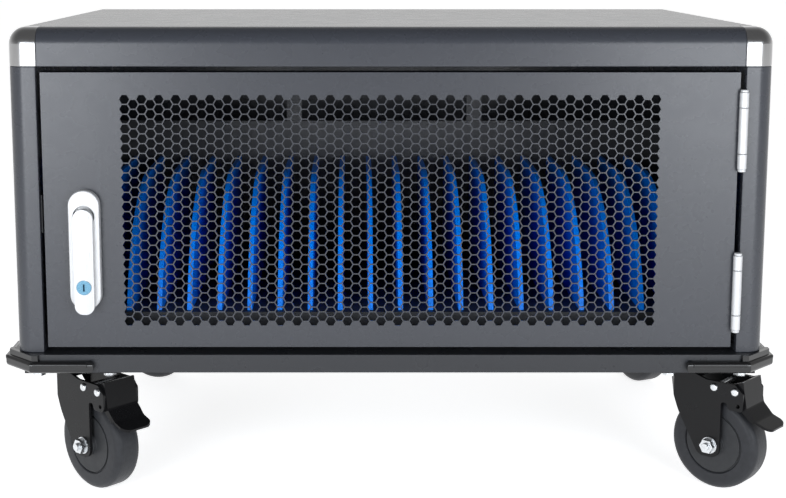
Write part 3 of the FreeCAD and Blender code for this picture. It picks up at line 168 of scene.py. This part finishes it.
class CabinetSizes(bpy.types.PropertyGroup):
    """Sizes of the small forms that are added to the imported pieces."""
    sheet_round: length_property("Sheet edge", "Rounding of folded sheet edges", 0.0008)
    frame_round: length_property("Frame edge", "Rounding of the trolley frame's edges", 0.002)
    bumper_round: length_property("Bumper edge", "Rounding of the bumpers' edges", 0.0016)
    pressing_round: length_property("Pressing edge", "Rounding of forks and plates", 0.0007)
    pedal_round: length_property("Pedal edge", "Rounding of the brake pedals' edges", 0.001)
    fitting_round: length_property("Fitting edge", "Rounding of handle, hinges and nuts", 0.0004)
    divider_round: length_property("Divider edge", "Rounding of the bay dividers", 0.0016)
    pin_round: length_property("Pin end", "Rounding of the hinge pins' ends", 0.0016)
    turning_steps: IntProperty(name="Turning steps", description="Sides of a round piece", min=24, default=96)
    rivet_round: length_property("Rivet head", "Rounding of the fork rivets' heads", 0.0017)
    tongue_width: length_property("Tongue width", "Half the width of the brake pedals' tongues", 0.0154)
    tongue_bend: length_property("Tongue bend", "Reach of the rounded bends of the brake pedals", 0.0045)
    tongue_reach: length_property("Tongue reach", "Lengthening of the brake pedals' tongues", 0.005)


class CabinetStage(bpy.types.PropertyGroup):
    """The camera and the soft lights."""
    camera_place: place_property("Camera", "Where the camera stands", (-0.0289, -1.3748, 0.455))
    camera_dip: FloatProperty(name="Dip", description="How far the camera looks down", subtype="ANGLE",
                              default=math.radians(8.6))
    camera_lens: FloatProperty(name="Lens", description="Focal length in millimetres", min=1.0, default=66.1)
    camera_shift: FloatVectorProperty(name="Shift", description="Shift of the frame, as shares of its width",
                                      size=2, default=(0.0477, -0.098))
    backdrop: level_property("Backdrop", "Brightness of the surround behind", 1.1)
    wings: level_property("Wings", "Brightness of the surround at the sides", 0.45)
    shade: level_property("Shade", "Brightness of the surround in front and overhead", 0.18)
    side_light: power_property("Side light", "Power of each soft light beside the camera", 7.7)
    fill_light: power_property("Fill light", "Power of each light that shows in no reflection", 14.0)
    softbox_place: place_property("Softbox", "Where the right softbox stands", (0.76, -1.6, 0.335))
    fill_place: place_property("Fill", "Where the right fill light stands", (0.9, -1.6, 0.62))
    light_tint: colour_property("Light tint", "Cool white of the soft lights", (0.92, 0.955, 1.0))
    floor: colour_property("Floor", "Pale floor", (0.88, 0.88, 0.88))
    floor_glow: level_property("Floor glow", "Own light of the pale floor", 0.72)


def select_only(piece):
    bpy.ops.object.select_all(action="DESELECT")
    piece.hide_set(False)
    piece.select_set(True)
    bpy.context.view_layer.objects.active = piece


def settle(piece):
    """Put a piece's place into its mesh, so that its object sits at the origin."""
    select_only(piece)
    bpy.ops.object.transform_apply(location=True, rotation=True, scale=True)


def shade(piece):
    select_only(piece)
    bpy.ops.object.shade_smooth_by_angle(angle=SMOOTH_ANGLE)


def stand_for(piece, node):
    """Let a finished piece ride on a node's body and take its place and finish."""
    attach(piece, BODIES[node])
    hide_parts(node)
    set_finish(piece, SLOTS[node])


def merged_copy(node):
    """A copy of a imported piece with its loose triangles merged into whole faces."""
    select_only(NODES[node])
    bpy.ops.object.duplicate()
    piece = bpy.context.object
    piece.name = f"{node}_rounded"
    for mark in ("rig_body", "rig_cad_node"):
        del piece[mark]
    piece.parent = None
    bpy.ops.object.mode_set(mode="EDIT")
    bpy.ops.mesh.select_all(action="SELECT")
    bpy.ops.mesh.remove_doubles(threshold=MERGE_DISTANCE)
    bpy.ops.mesh.dissolve_limited(angle_limit=FLAT_ANGLE)
    bpy.ops.object.mode_set(mode="OBJECT")
    return piece


def round_edges(piece, width, segments=2, chosen=None):
    """Round over a piece's sharp edges, or only those whose middle passes a test."""
    select_only(piece)
    bpy.ops.object.mode_set(mode="EDIT")
    bpy.ops.mesh.select_mode(type="EDGE")
    bpy.ops.mesh.select_all(action="DESELECT")
    bpy.ops.mesh.edges_select_sharp(sharpness=SHARP_ANGLE)
    bpy.ops.mesh.select_mode(type="EDGE")
    bpy.ops.object.mode_set(mode="OBJECT")
    mark_edges(piece.data, chosen)
    bevel = piece.modifiers.new("Rounded edges", "BEVEL")
    bevel.width = width
    bevel.segments = segments
    bevel.limit_method = "WEIGHT"
    bpy.ops.object.modifier_apply(modifier=bevel.name)
    shade(piece)
    even_shading(piece)


def rounded_copy(node, width, segments=2, chosen=None):
    """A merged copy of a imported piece, with rounded edges, that stands for it."""
    piece = merged_copy(node)
    round_edges(piece, width, segments, chosen)
    stand_for(piece, node)
    return piece


def mark_edges(mesh, chosen):
    """Give the selected edges that pass a test the weight of a rounded edge."""
    weights = mesh.attributes.new("bevel_weight_edge", "FLOAT", "EDGE")
    for edge in mesh.edges:
        middle = sum((mesh.vertices[end].co for end in edge.vertices), Vector()) / 2
        if edge.select and (chosen is None or chosen(middle)):
            weights.data[edge.index].value = FULL_WEIGHT


def even_shading(piece):
    """Let the large faces set the shading, so that they stay flat beside a rounded edge."""
    select_only(piece)
    weighted = piece.modifiers.new("Even shading", "WEIGHTED_NORMAL")
    weighted.mode = "FACE_AREA"
    weighted.keep_sharp = True
    bpy.ops.object.modifier_apply(modifier=weighted.name)


def turned(name, profile, steps):
    """A round piece about the Z axis, drawn out ring by ring from (radius, height) points."""
    bpy.ops.object.select_all(action="DESELECT")
    radius, height = profile[0]
    bpy.ops.mesh.primitive_circle_add(vertices=steps, radius=radius, location=(0, 0, height))
    piece = bpy.context.object
    piece.name = name
    bpy.ops.object.mode_set(mode="EDIT")
    for next_radius, next_height in profile[1:]:
        bpy.ops.mesh.extrude_edges_move(TRANSFORM_OT_translate={"value": (0, 0, next_height - height)})
        ratio = next_radius / radius
        bpy.ops.transform.resize(value=(ratio, ratio, 1), center_override=(0, 0, next_height))
        radius, height = next_radius, next_height
    bpy.ops.mesh.select_all(action="SELECT")
    bpy.ops.mesh.remove_doubles(threshold=MERGE_DISTANCE)
    bpy.ops.mesh.normals_make_consistent(inside=False)
    bpy.ops.object.mode_set(mode="OBJECT")
    settle(piece)
    return piece


def rounded_corner(radius, height, size, start, end, steps=5):
    """Points of an arc in a turned profile, about a centre given as radius and height, in degrees."""
    points = []
    for step in range(steps + 1):
        angle = math.radians(start + (end - start) * step / steps)
        points.append((radius + size * math.cos(angle), height + size * math.sin(angle)))
    return points


def copy_to(piece, name, place):
    """A copy with a mesh of its own, moved to a place."""
    select_only(piece)
    bpy.ops.object.duplicate()
    twin = bpy.context.object
    twin.name = name
    twin.matrix_world = place
    settle(twin)
    return twin


def axle_place(joint):
    """A turn that lays the Z axis along a joint's axis, at the joint's place."""
    turn = Vector((0, 0, 1)).rotation_difference(Vector(JOINTS[joint]["axis"]))
    return Matrix.Translation(JOINTS[joint]["pos_m"]) @ turn.to_matrix().to_4x4()


def castor_place(corner):
    """The place of a castor: X ahead of its axle, Y along the axle, Z up, from the axle's middle."""
    hub = Vector(JOINTS[f"{corner}_wheel_spin"]["pos_m"])
    ahead = hub - Vector(JOINTS[f"{corner}_swivel"]["pos_m"])
    ahead.z = 0
    ahead.normalize()
    up = Vector((0, 0, 1))
    turn = Matrix((ahead, up.cross(ahead), up)).transposed()
    return Matrix.Translation(hub) @ turn.to_4x4()


def pick_corners(piece, chosen):
    """Select the corners of a piece whose place passes a test, ready to be moved."""
    select_only(piece)
    bpy.ops.object.mode_set(mode="EDIT")
    bpy.ops.mesh.select_mode(type="VERT")
    bpy.ops.mesh.select_all(action="DESELECT")
    bpy.ops.object.mode_set(mode="OBJECT")
    for vertex in piece.data.vertices:
        vertex.select = chosen(vertex.co)
    bpy.ops.object.mode_set(mode="EDIT")


def pick_edges(piece, chosen):
    """Select the edges of a piece whose two ends pass a test, ready to be bevelled."""
    select_only(piece)
    bpy.ops.object.mode_set(mode="EDIT")
    bpy.ops.mesh.select_mode(type="EDGE")
    bpy.ops.mesh.select_all(action="DESELECT")
    bpy.ops.object.mode_set(mode="OBJECT")
    for edge in piece.data.edges:
        edge.select = chosen(*(piece.data.vertices[end].co for end in edge.vertices))
    bpy.ops.object.mode_set(mode="EDIT")


def discard(piece):
    bpy.data.meshes.remove(piece.data)


def start_finish(name):
    """A new material, with its node tree and its shader."""
    material = bpy.data.materials.new(name)
    material.use_nodes = True
    tree = material.node_tree
    return material, tree, tree.nodes["Principled BSDF"]


def grain(tree, size, stretch=(1.0, 1.0, 1.0), detail=3.0):
    """Noise on the piece's own coordinates, with grains of about this size in metres."""
    spot = tree.nodes.new("ShaderNodeTexCoord")
    mapping = tree.nodes.new("ShaderNodeMapping")
    noise = tree.nodes.new("ShaderNodeTexNoise")
    mapping.inputs["Scale"].default_value = stretch
    noise.inputs["Scale"].default_value = 1 / size
    noise.inputs["Detail"].default_value = detail
    tree.links.new(spot.outputs["Object"], mapping.inputs["Vector"])
    tree.links.new(mapping.outputs["Vector"], noise.inputs["Vector"])
    return noise.outputs["Fac"]


def rings(tree, size):
    """Fine rings round a turned piece, from its own record of the distance along the axle."""
    across = tree.nodes.new("ShaderNodeAttribute")
    across.attribute_name = "across"
    noise = tree.nodes.new("ShaderNodeTexNoise")
    noise.noise_dimensions = "1D"
    noise.inputs["Scale"].default_value = 1 / size
    tree.links.new(across.outputs["Fac"], noise.inputs["W"])
    return noise.outputs["Fac"]


def tint(tree, shader, source, colour, spread):
    """Let a pattern darken and lighten a colour by a share."""
    ramp = tree.nodes.new("ShaderNodeValToRGB")
    for element, position, share in zip(ramp.color_ramp.elements, NOISE_SPAN, (1 - spread, 1 + spread)):
        element.position = position
        element.color = [channel * share for channel in colour] + [1.0]
    tree.links.new(source, ramp.inputs["Fac"])
    tree.links.new(ramp.outputs["Color"], shader.inputs["Base Color"])


def gloss(tree, shader, source, smooth, rough):
    """Let a pattern vary the roughness between two values."""
    spread = tree.nodes.new("ShaderNodeMapRange")
    spread.inputs["From Min"].default_value, spread.inputs["From Max"].default_value = NOISE_SPAN
    spread.inputs["To Min"].default_value = smooth
    spread.inputs["To Max"].default_value = rough
    tree.links.new(source, spread.inputs["Value"])
    tree.links.new(spread.outputs["Result"], shader.inputs["Roughness"])


def relief(tree, shader, source, depth):
    """Let a pattern raise the surface by a depth in metres."""
    bump = tree.nodes.new("ShaderNodeBump")
    bump.inputs["Distance"].default_value = depth
    tree.links.new(source, bump.inputs["Height"])
    tree.links.new(bump.outputs["Normal"], shader.inputs["Normal"])


def powder_coat(name, colour, smooth, rough, shine=0.5):
    """Satin paint with the fine pebbled skin of a baked powder."""
    material, tree, shader = start_finish(name)
    shader.inputs["Specular IOR Level"].default_value = shine
    tint(tree, shader, grain(tree, size=0.0016), colour, spread=0.07)
    gloss(tree, shader, grain(tree, size=0.02), smooth, rough)
    relief(tree, shader, grain(tree, size=0.0009), depth=0.000008)
    return material


def brushed_metal(name, colour, smooth, rough, stretch=UPRIGHT_BRUSHING, share=SATIN_SHARE):
    """Satin metal with fine brushing drawn out along one direction."""
    material, tree, shader = start_finish(name)
    shader.inputs["Metallic"].default_value = share
    tint(tree, shader, grain(tree, size=0.0012, stretch=stretch), colour, spread=0.04)
    gloss(tree, shader, grain(tree, size=0.0008, stretch=stretch), smooth, rough)
    relief(tree, shader, grain(tree, size=0.0006, stretch=stretch), depth=0.000006)
    return material


def plated_metal(name, colour):
    """Bright plating with a faint cloudiness."""
    material, tree, shader = start_finish(name)
    shader.inputs["Metallic"].default_value = FULL_METAL
    tint(tree, shader, grain(tree, size=0.0025), colour, spread=0.1)
    gloss(tree, shader, grain(tree, size=0.0012), smooth=0.18, rough=0.36)
    relief(tree, shader, grain(tree, size=0.0015), depth=0.00004)
    return material


def moulded(name, colour, smooth, rough, depth, shine=0.5):
    """Plastic or rubber with the grain of its mould."""
    material, tree, shader = start_finish(name)
    shader.inputs["Specular IOR Level"].default_value = shine
    tint(tree, shader, grain(tree, size=0.003), colour, spread=0.1)
    gloss(tree, shader, grain(tree, size=0.008), smooth, rough)
    relief(tree, shader, grain(tree, size=0.0007), depth)
    return material


def rolled_rubber(name, colour, shine):
    """Tyre rubber with fine rings from its mould and from rolling."""
    material, tree, shader = start_finish(name)
    shader.inputs["Specular IOR Level"].default_value = shine
    tint(tree, shader, grain(tree, size=0.004), colour, spread=0.14)
    gloss(tree, shader, rings(tree, size=0.0007), smooth=0.3, rough=0.56)
    relief(tree, shader, rings(tree, size=0.0006), depth=0.0002)
    return material


def give(slot, material):
    """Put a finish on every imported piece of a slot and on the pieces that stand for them."""
    for piece in bpy.context.scene.objects:
        if piece.type != "MESH":
            continue
        if piece.get("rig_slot") == slot or SLOTS.get(piece.get("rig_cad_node")) == slot:
            piece.data.materials.clear()
            piece.data.materials.append(material)


def give_piece(node, material):
    """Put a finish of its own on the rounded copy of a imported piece."""
    bpy.data.objects[f"{node}_rounded"].data.materials[0] = material


def beside(node):
    """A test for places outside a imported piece's face, as seen from the front."""
    low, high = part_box(node)

    def chosen(spot):
        over_width = low.x - TOUCH < spot.x < high.x + TOUCH
        over_height = low.z - TOUCH < spot.z < high.z + TOUCH
        return not (over_width and over_height)

    return chosen


class CABINET_OT_sheet_edges(bpy.types.Operator):
    """Round the edges of the case, the door, the trolley frame and its bumpers"""
    bl_idname = "cabinet.sheet_edges"
    bl_label = "Sheet Edges"

    def execute(self, context):
        sizes = context.scene.cabinet_sizes
        for node in ("left_front_post", "right_front_post", "left_rear_post", "right_rear_post",
                     "top_cover", "left_corner_cap", "right_corner_cap"):
            rounded_copy(node, sizes.sheet_round)
        rounded_copy("door_panel", sizes.sheet_round, chosen=beside("door_mesh"))
        rounded_copy("base_frame", sizes.frame_round)
        rounded_copy("corner_bumpers", sizes.bumper_round, segments=3)
        return {"FINISHED"}


class CABINET_OT_fittings(bpy.types.Operator):
    """Round the edges of the handle, the lock, the latch and the hinges"""
    bl_idname = "cabinet.fittings"
    bl_label = "Handle And Hinges"

    def execute(self, context):
        sizes = context.scene.cabinet_sizes
        for node in ("handle_escutcheon", "handle_lever", "lock_plug", "hinge_frame_leaves",
                     "hinge_door_leaves", "latch_keeper", "latch_cam"):
            rounded_copy(node, sizes.fitting_round)
        rounded_copy("hinge_pins", sizes.pin_round, segments=4)
        return {"FINISHED"}


class CABINET_OT_dividers(bpy.types.Operator):
    """Round the edges of the moulded bay dividers"""
    bl_idname = "cabinet.dividers"
    bl_label = "Bay Dividers"

    def execute(self, context):
        rounded_copy("bay_dividers", context.scene.cabinet_sizes.divider_round, segments=3)
        return {"FINISHED"}


def rivet_ends(corner):
    """A test for places on the outer ends of a castor's rivets."""
    bench = castor_place(corner).inverted()
    rivets = NODES[f"{corner}_fork_rivets"].data
    reach = max(abs((bench @ vertex.co).y) for vertex in rivets.vertices)
    return lambda spot: abs((bench @ spot).y) > reach - TOUCH


def widen_tongue(piece, sizes):
    """Draw the narrow tongue of a pedal out to the pedal's width and lengthen it."""
    spots = [vertex.co for vertex in piece.data.vertices]
    levels = sorted({round(spot.x, 4) for spot in spots if TONGUE_BEND < spot.x < TONGUE_ROOT + TOUCH})
    growth = 1.0
    for level in levels:
        here = [vertex.co for vertex in piece.data.vertices if abs(vertex.co.x - level) < TOUCH]
        width = max(abs(spot.y) for spot in here)
        growth = sizes.tongue_width / width
        pick_corners(piece, lambda spot: abs(spot.x - level) < TOUCH)
        bpy.ops.transform.resize(value=(1, growth, 1), center_override=(0, 0, 0))
        bpy.ops.object.mode_set(mode="OBJECT")
    pick_corners(piece, lambda spot: spot.x > TONGUE_ROOT + TOUCH)
    bpy.ops.transform.resize(value=(1, growth, 1), center_override=(0, 0, 0))
    bpy.ops.transform.translate(value=(sizes.tongue_reach, 0, -sizes.tongue_reach * TONGUE_SLOPE))
    bpy.ops.object.mode_set(mode="OBJECT")


def bend_tongue(piece, reach):
    """Round the creases that run across a pedal."""

    def crease(first, second):
        across = abs(first.x - second.x) < TOUCH and abs(first.z - second.z) < TOUCH
        return across and abs(first.y - second.y) > CREASE_LENGTH and CREASE_START < first.x < CREASE_END

    pick_edges(piece, crease)
    bpy.ops.mesh.bevel(offset=reach, segments=BEND_SEGMENTS, affect="EDGES", clamp_overlap=True)
    bpy.ops.object.mode_set(mode="OBJECT")


def pressed_pedal(corner, sizes):
    """A brake pedal with a wide tongue and rounded bends."""
    node = f"{corner}_brake_pedal"
    place = castor_place(corner)
    piece = merged_copy(node)
    piece.matrix_world = place.inverted()
    settle(piece)
    widen_tongue(piece, sizes)
    bend_tongue(piece, sizes.tongue_bend)
    piece.matrix_world = place
    settle(piece)
    round_edges(piece, sizes.pedal_round, segments=3)
    stand_for(piece, node)


class CABINET_OT_forks(bpy.types.Operator):
    """Round the edges of the castors' forks, axles, wheel cores, rivets and plates, and bend the pedals"""
    bl_idname = "cabinet.forks"
    bl_label = "Forks And Pedals"

    def execute(self, context):
        sizes = context.scene.cabinet_sizes
        for corner in CORNERS:
            rounded_copy(f"{corner}_fork", sizes.pressing_round)
            rounded_copy(f"{corner}_axle", sizes.fitting_round)
            rounded_copy(f"{corner}_wheel_core", sizes.fitting_round)
        for corner in BRAKED:
            pressed_pedal(corner, sizes)
            rounded_copy(f"{corner}_fork_rivets", sizes.rivet_round, segments=4,
                         chosen=rivet_ends(corner))
        rounded_copy("castor_plates", sizes.pressing_round)
        return {"FINISHED"}


def tyre_profile():
    """A tyre's section as (radius, height) points, closed on itself."""
    low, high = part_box("rear_left_tyre")
    inner = (high.z - low.z) / 2 - TYRE_SHOULDER
    mouth = TYRE_BORE + TYRE_LIP
    edge = TYRE_HALF_WIDTH - TYRE_LIP
    bend = TYRE_HALF_WIDTH - TYRE_SHOULDER
    profile = [(TYRE_BORE, -edge), (mouth, -TYRE_HALF_WIDTH), (inner, -TYRE_HALF_WIDTH)]
    profile += rounded_corner(inner, -bend, TYRE_SHOULDER, -90, 0)[1:]
    profile += rounded_corner(inner, bend, TYRE_SHOULDER, 0, 90)
    profile += [(mouth, TYRE_HALF_WIDTH), (TYRE_BORE, edge), (TYRE_BORE, -edge)]
    return profile


class CABINET_OT_tyres(bpy.types.Operator):
    """Turn one tyre with rounded shoulders and set a copy on each wheel"""
    bl_idname = "cabinet.tyres"
    bl_label = "Tyres"

    def execute(self, context):
        steps = context.scene.cabinet_sizes.turning_steps
        pattern = turned("tyre_pattern", tyre_profile(), steps)
        across = pattern.data.attributes.new("across", "FLOAT", "POINT")
        across.data.foreach_set("value", [vertex.co.z for vertex in pattern.data.vertices])
        shade(pattern)
        for corner in CORNERS:
            tyre = copy_to(pattern, f"{corner}_tyre_turned", axle_place(f"{corner}_wheel_spin"))
            stand_for(tyre, f"{corner}_tyre")
        discard(pattern)
        return {"FINISHED"}


class CABINET_OT_paint(bpy.types.Operator):
    """Finish the painted steel of the case, the trolley and the castors"""
    bl_idname = "cabinet.paint"
    bl_label = "Painted Steel"

    def execute(self, context):
        finishes = context.scene.cabinet_finishes
        give("slate_paint", powder_coat("slate_powder_coat", finishes.slate, smooth=0.26, rough=0.29))
        give("trolley_paint", powder_coat("trolley_powder_coat", finishes.trolley, smooth=0.26, rough=0.32,
                                          shine=0.42))
        give("dark_paint", powder_coat("inside_powder_coat", finishes.inside, smooth=0.44, rough=0.54))
        give("castor_black", powder_coat("castor_paint", finishes.castor, smooth=0.24, rough=0.34,
                                         shine=0.22))
        gloss_black = powder_coat("pedal_paint", finishes.castor, smooth=0.12, rough=0.18, shine=0.15)
        for corner in BRAKED:
            give_piece(f"{corner}_brake_pedal", gloss_black)
        return {"FINISHED"}


class CABINET_OT_metal(bpy.types.Operator):
    """Finish the bare and plated metal, and paint the keeper dark as painted shade in the door gap"""
    bl_idname = "cabinet.metal"
    bl_label = "Metal"

    def execute(self, context):
        finishes = context.scene.cabinet_finishes
        give("bright_metal", brushed_metal("satin_silver", finishes.silver, smooth=0.26, rough=0.36))
        polished = brushed_metal("cap_metal", finishes.cap, smooth=0.2, rough=0.26, share=FULL_METAL)
        give_piece("left_corner_cap", polished)
        give_piece("right_corner_cap", polished)
        give("lock_metal", brushed_metal("lock_face", finishes.lock, smooth=0.2, rough=0.32,
                                         stretch=LEVEL_BRUSHING))
        give("zinc", plated_metal("zinc_plating", finishes.zinc))
        give("contact_metal", plated_metal("contact_plating", finishes.brass))
        # The latch keeper takes the dark inside paint as painted shade, standing in for the shadow in the gap
        # beside the door.
        give_piece("latch_keeper", powder_coat("keeper_painted_shade", finishes.inside, smooth=0.44, rough=0.54))
        return {"FINISHED"}


class CABINET_OT_mouldings(bpy.types.Operator):
    """Finish the plastic and the rubber"""
    bl_idname = "cabinet.mouldings"
    bl_label = "Plastic And Rubber"

    def execute(self, context):
        finishes = context.scene.cabinet_finishes
        give("blue_plastic", moulded("divider_blue", finishes.blue, smooth=0.3, rough=0.42, depth=0.00001))
        give("black_plastic", moulded("black_housing", finishes.black, smooth=0.36, rough=0.5, depth=0.00002))
        give("lead_cover", moulded("lead_sleeve", finishes.black, smooth=0.4, rough=0.55, depth=0.00002))
        give("bumper_rubber", moulded("bumper_rubber", finishes.rubber, smooth=0.08, rough=0.13,
                                      depth=0.000003, shine=0.55))
        give("core_plastic", moulded("wheel_core", finishes.core, smooth=0.4, rough=0.55,
                                     depth=0.00003, shine=0.3))
        give("tyre_rubber", rolled_rubber("tyre_rubber", finishes.tyre, shine=0.26))
        return {"FINISHED"}


def soft_light(name, place, size, power, colour):
    """A soft light that faces the middle of the cabinet."""
    data = bpy.data.lights.new(name, "AREA")
    data.shape = "RECTANGLE"
    data.size, data.size_y = size
    data.energy = power
    data.color = colour
    light = bpy.data.objects.new(name, data)
    bpy.context.scene.collection.objects.link(light)
    light.visible_camera = False
    light.location = place
    light.rotation_euler = (LIGHT_AIM - Vector(place)).to_track_quat("-Z", "Y").to_euler()
    return light


def plain_surround(levels):
    """White behind, greyer at the sides, and dark in front and overhead, as three brightnesses."""
    world = bpy.data.worlds.new("plain_surround")
    world.use_nodes = True
    tree = world.node_tree
    spot = tree.nodes.new("ShaderNodeTexCoord")
    lean = tree.nodes.new("ShaderNodeMapping")
    split = tree.nodes.new("ShaderNodeSeparateXYZ")
    ramp = tree.nodes.new("ShaderNodeValToRGB")
    lean.inputs["Rotation"].default_value = (-SURROUND_LEAN, 0, 0)
    lean.inputs["Location"].default_value = (0, 0, SURROUND_MIDDLE)
    ramp.color_ramp.elements.new(SURROUND_MIDDLE)
    for element, level in zip(ramp.color_ramp.elements, levels):
        element.color = (level, level, level, 1.0)
    tree.links.new(spot.outputs["Generated"], lean.inputs["Vector"])
    tree.links.new(lean.outputs["Vector"], split.inputs["Vector"])
    tree.links.new(split.outputs["Z"], ramp.inputs["Fac"])
    tree.links.new(ramp.outputs["Color"], tree.nodes["Background"].inputs["Color"])
    bpy.context.scene.world = world


def pale_floor(colour, glow):
    """A wide sheet of paper that gives some light of its own."""
    bpy.ops.object.select_all(action="DESELECT")
    bpy.ops.mesh.primitive_plane_add(size=FLOOR_WIDTH)
    floor = bpy.context.object
    floor.name = "pale_floor"
    material, tree, shader = start_finish("floor_paper")
    tint(tree, shader, grain(tree, size=0.003), colour, spread=0.01)
    shader.inputs["Roughness"].default_value = PAPER_ROUGHNESS
    shader.inputs["Emission Color"].default_value = (1.0, 1.0, 1.0, 1.0)
    shader.inputs["Emission Strength"].default_value = glow
    floor.data.materials.append(material)


class CABINET_OT_stage(bpy.types.Operator):
    """Set up the floor, the soft lights and the camera"""
    bl_idname = "cabinet.stage"
    bl_label = "Stage"

    def execute(self, context):
        stage = context.scene.cabinet_stage
        pale_floor(stage.floor, stage.floor_glow)
        plain_surround((stage.backdrop, stage.wings, stage.shade))
        tinted = stage.light_tint
        for name, side in (("left", Vector((-1, 1, 1))), ("right", Vector((1, 1, 1)))):
            soft_light(f"{name}_softbox", side * stage.softbox_place, SOFTBOX_SIZE, stage.side_light, tinted)
            fill = soft_light(f"{name}_fill", side * stage.fill_place, FILL_SIZE, stage.fill_light, tinted)
            fill.visible_glossy = False
        data = bpy.data.cameras.new("photo_camera")
        data.lens = stage.camera_lens
        data.shift_x, data.shift_y = stage.camera_shift
        camera = bpy.data.objects.new("photo_camera", data)
        camera.location = stage.camera_place
        camera.rotation_euler = (math.pi / 2 - stage.camera_dip, 0, 0)
        context.scene.collection.objects.link(camera)
        context.scene.camera = camera
        context.scene.view_settings.view_transform = "Standard"
        return {"FINISHED"}


STEPS = (CABINET_OT_sheet_edges, CABINET_OT_fittings, CABINET_OT_dividers, CABINET_OT_forks, CABINET_OT_tyres,
         CABINET_OT_paint, CABINET_OT_metal, CABINET_OT_mouldings, CABINET_OT_stage)


class CABINET_PT_steps(bpy.types.Panel):
    """The steps that dress the cabinet, in order"""
    bl_label = "Charging Cabinet"
    bl_idname = "CABINET_PT_steps"
    bl_space_type = "VIEW_3D"
    bl_region_type = "UI"
    bl_category = "Cabinet"

    def draw(self, context):
        for step in STEPS:
            self.layout.operator(step.bl_idname)


CLASSES = (CabinetFinishes, CabinetSizes, CabinetStage, *STEPS, CABINET_PT_steps)


def register():
    for item in CLASSES:
        bpy.utils.register_class(item)
    bpy.types.Scene.cabinet_finishes = PointerProperty(type=CabinetFinishes)
    bpy.types.Scene.cabinet_sizes = PointerProperty(type=CabinetSizes)
    bpy.types.Scene.cabinet_stage = PointerProperty(type=CabinetStage)


def unregister():
    del bpy.types.Scene.cabinet_stage
    del bpy.types.Scene.cabinet_sizes
    del bpy.types.Scene.cabinet_finishes
    for item in reversed(CLASSES):
        bpy.utils.unregister_class(item)


def main():
    register()
    bpy.ops.cabinet.sheet_edges()
    bpy.ops.cabinet.fittings()
    bpy.ops.cabinet.dividers()
    bpy.ops.cabinet.forks()
    bpy.ops.cabinet.tyres()
    bpy.ops.cabinet.paint()
    bpy.ops.cabinet.metal()
    bpy.ops.cabinet.mouldings()
    bpy.ops.cabinet.stage()


if __name__ == "__main__":
    main()
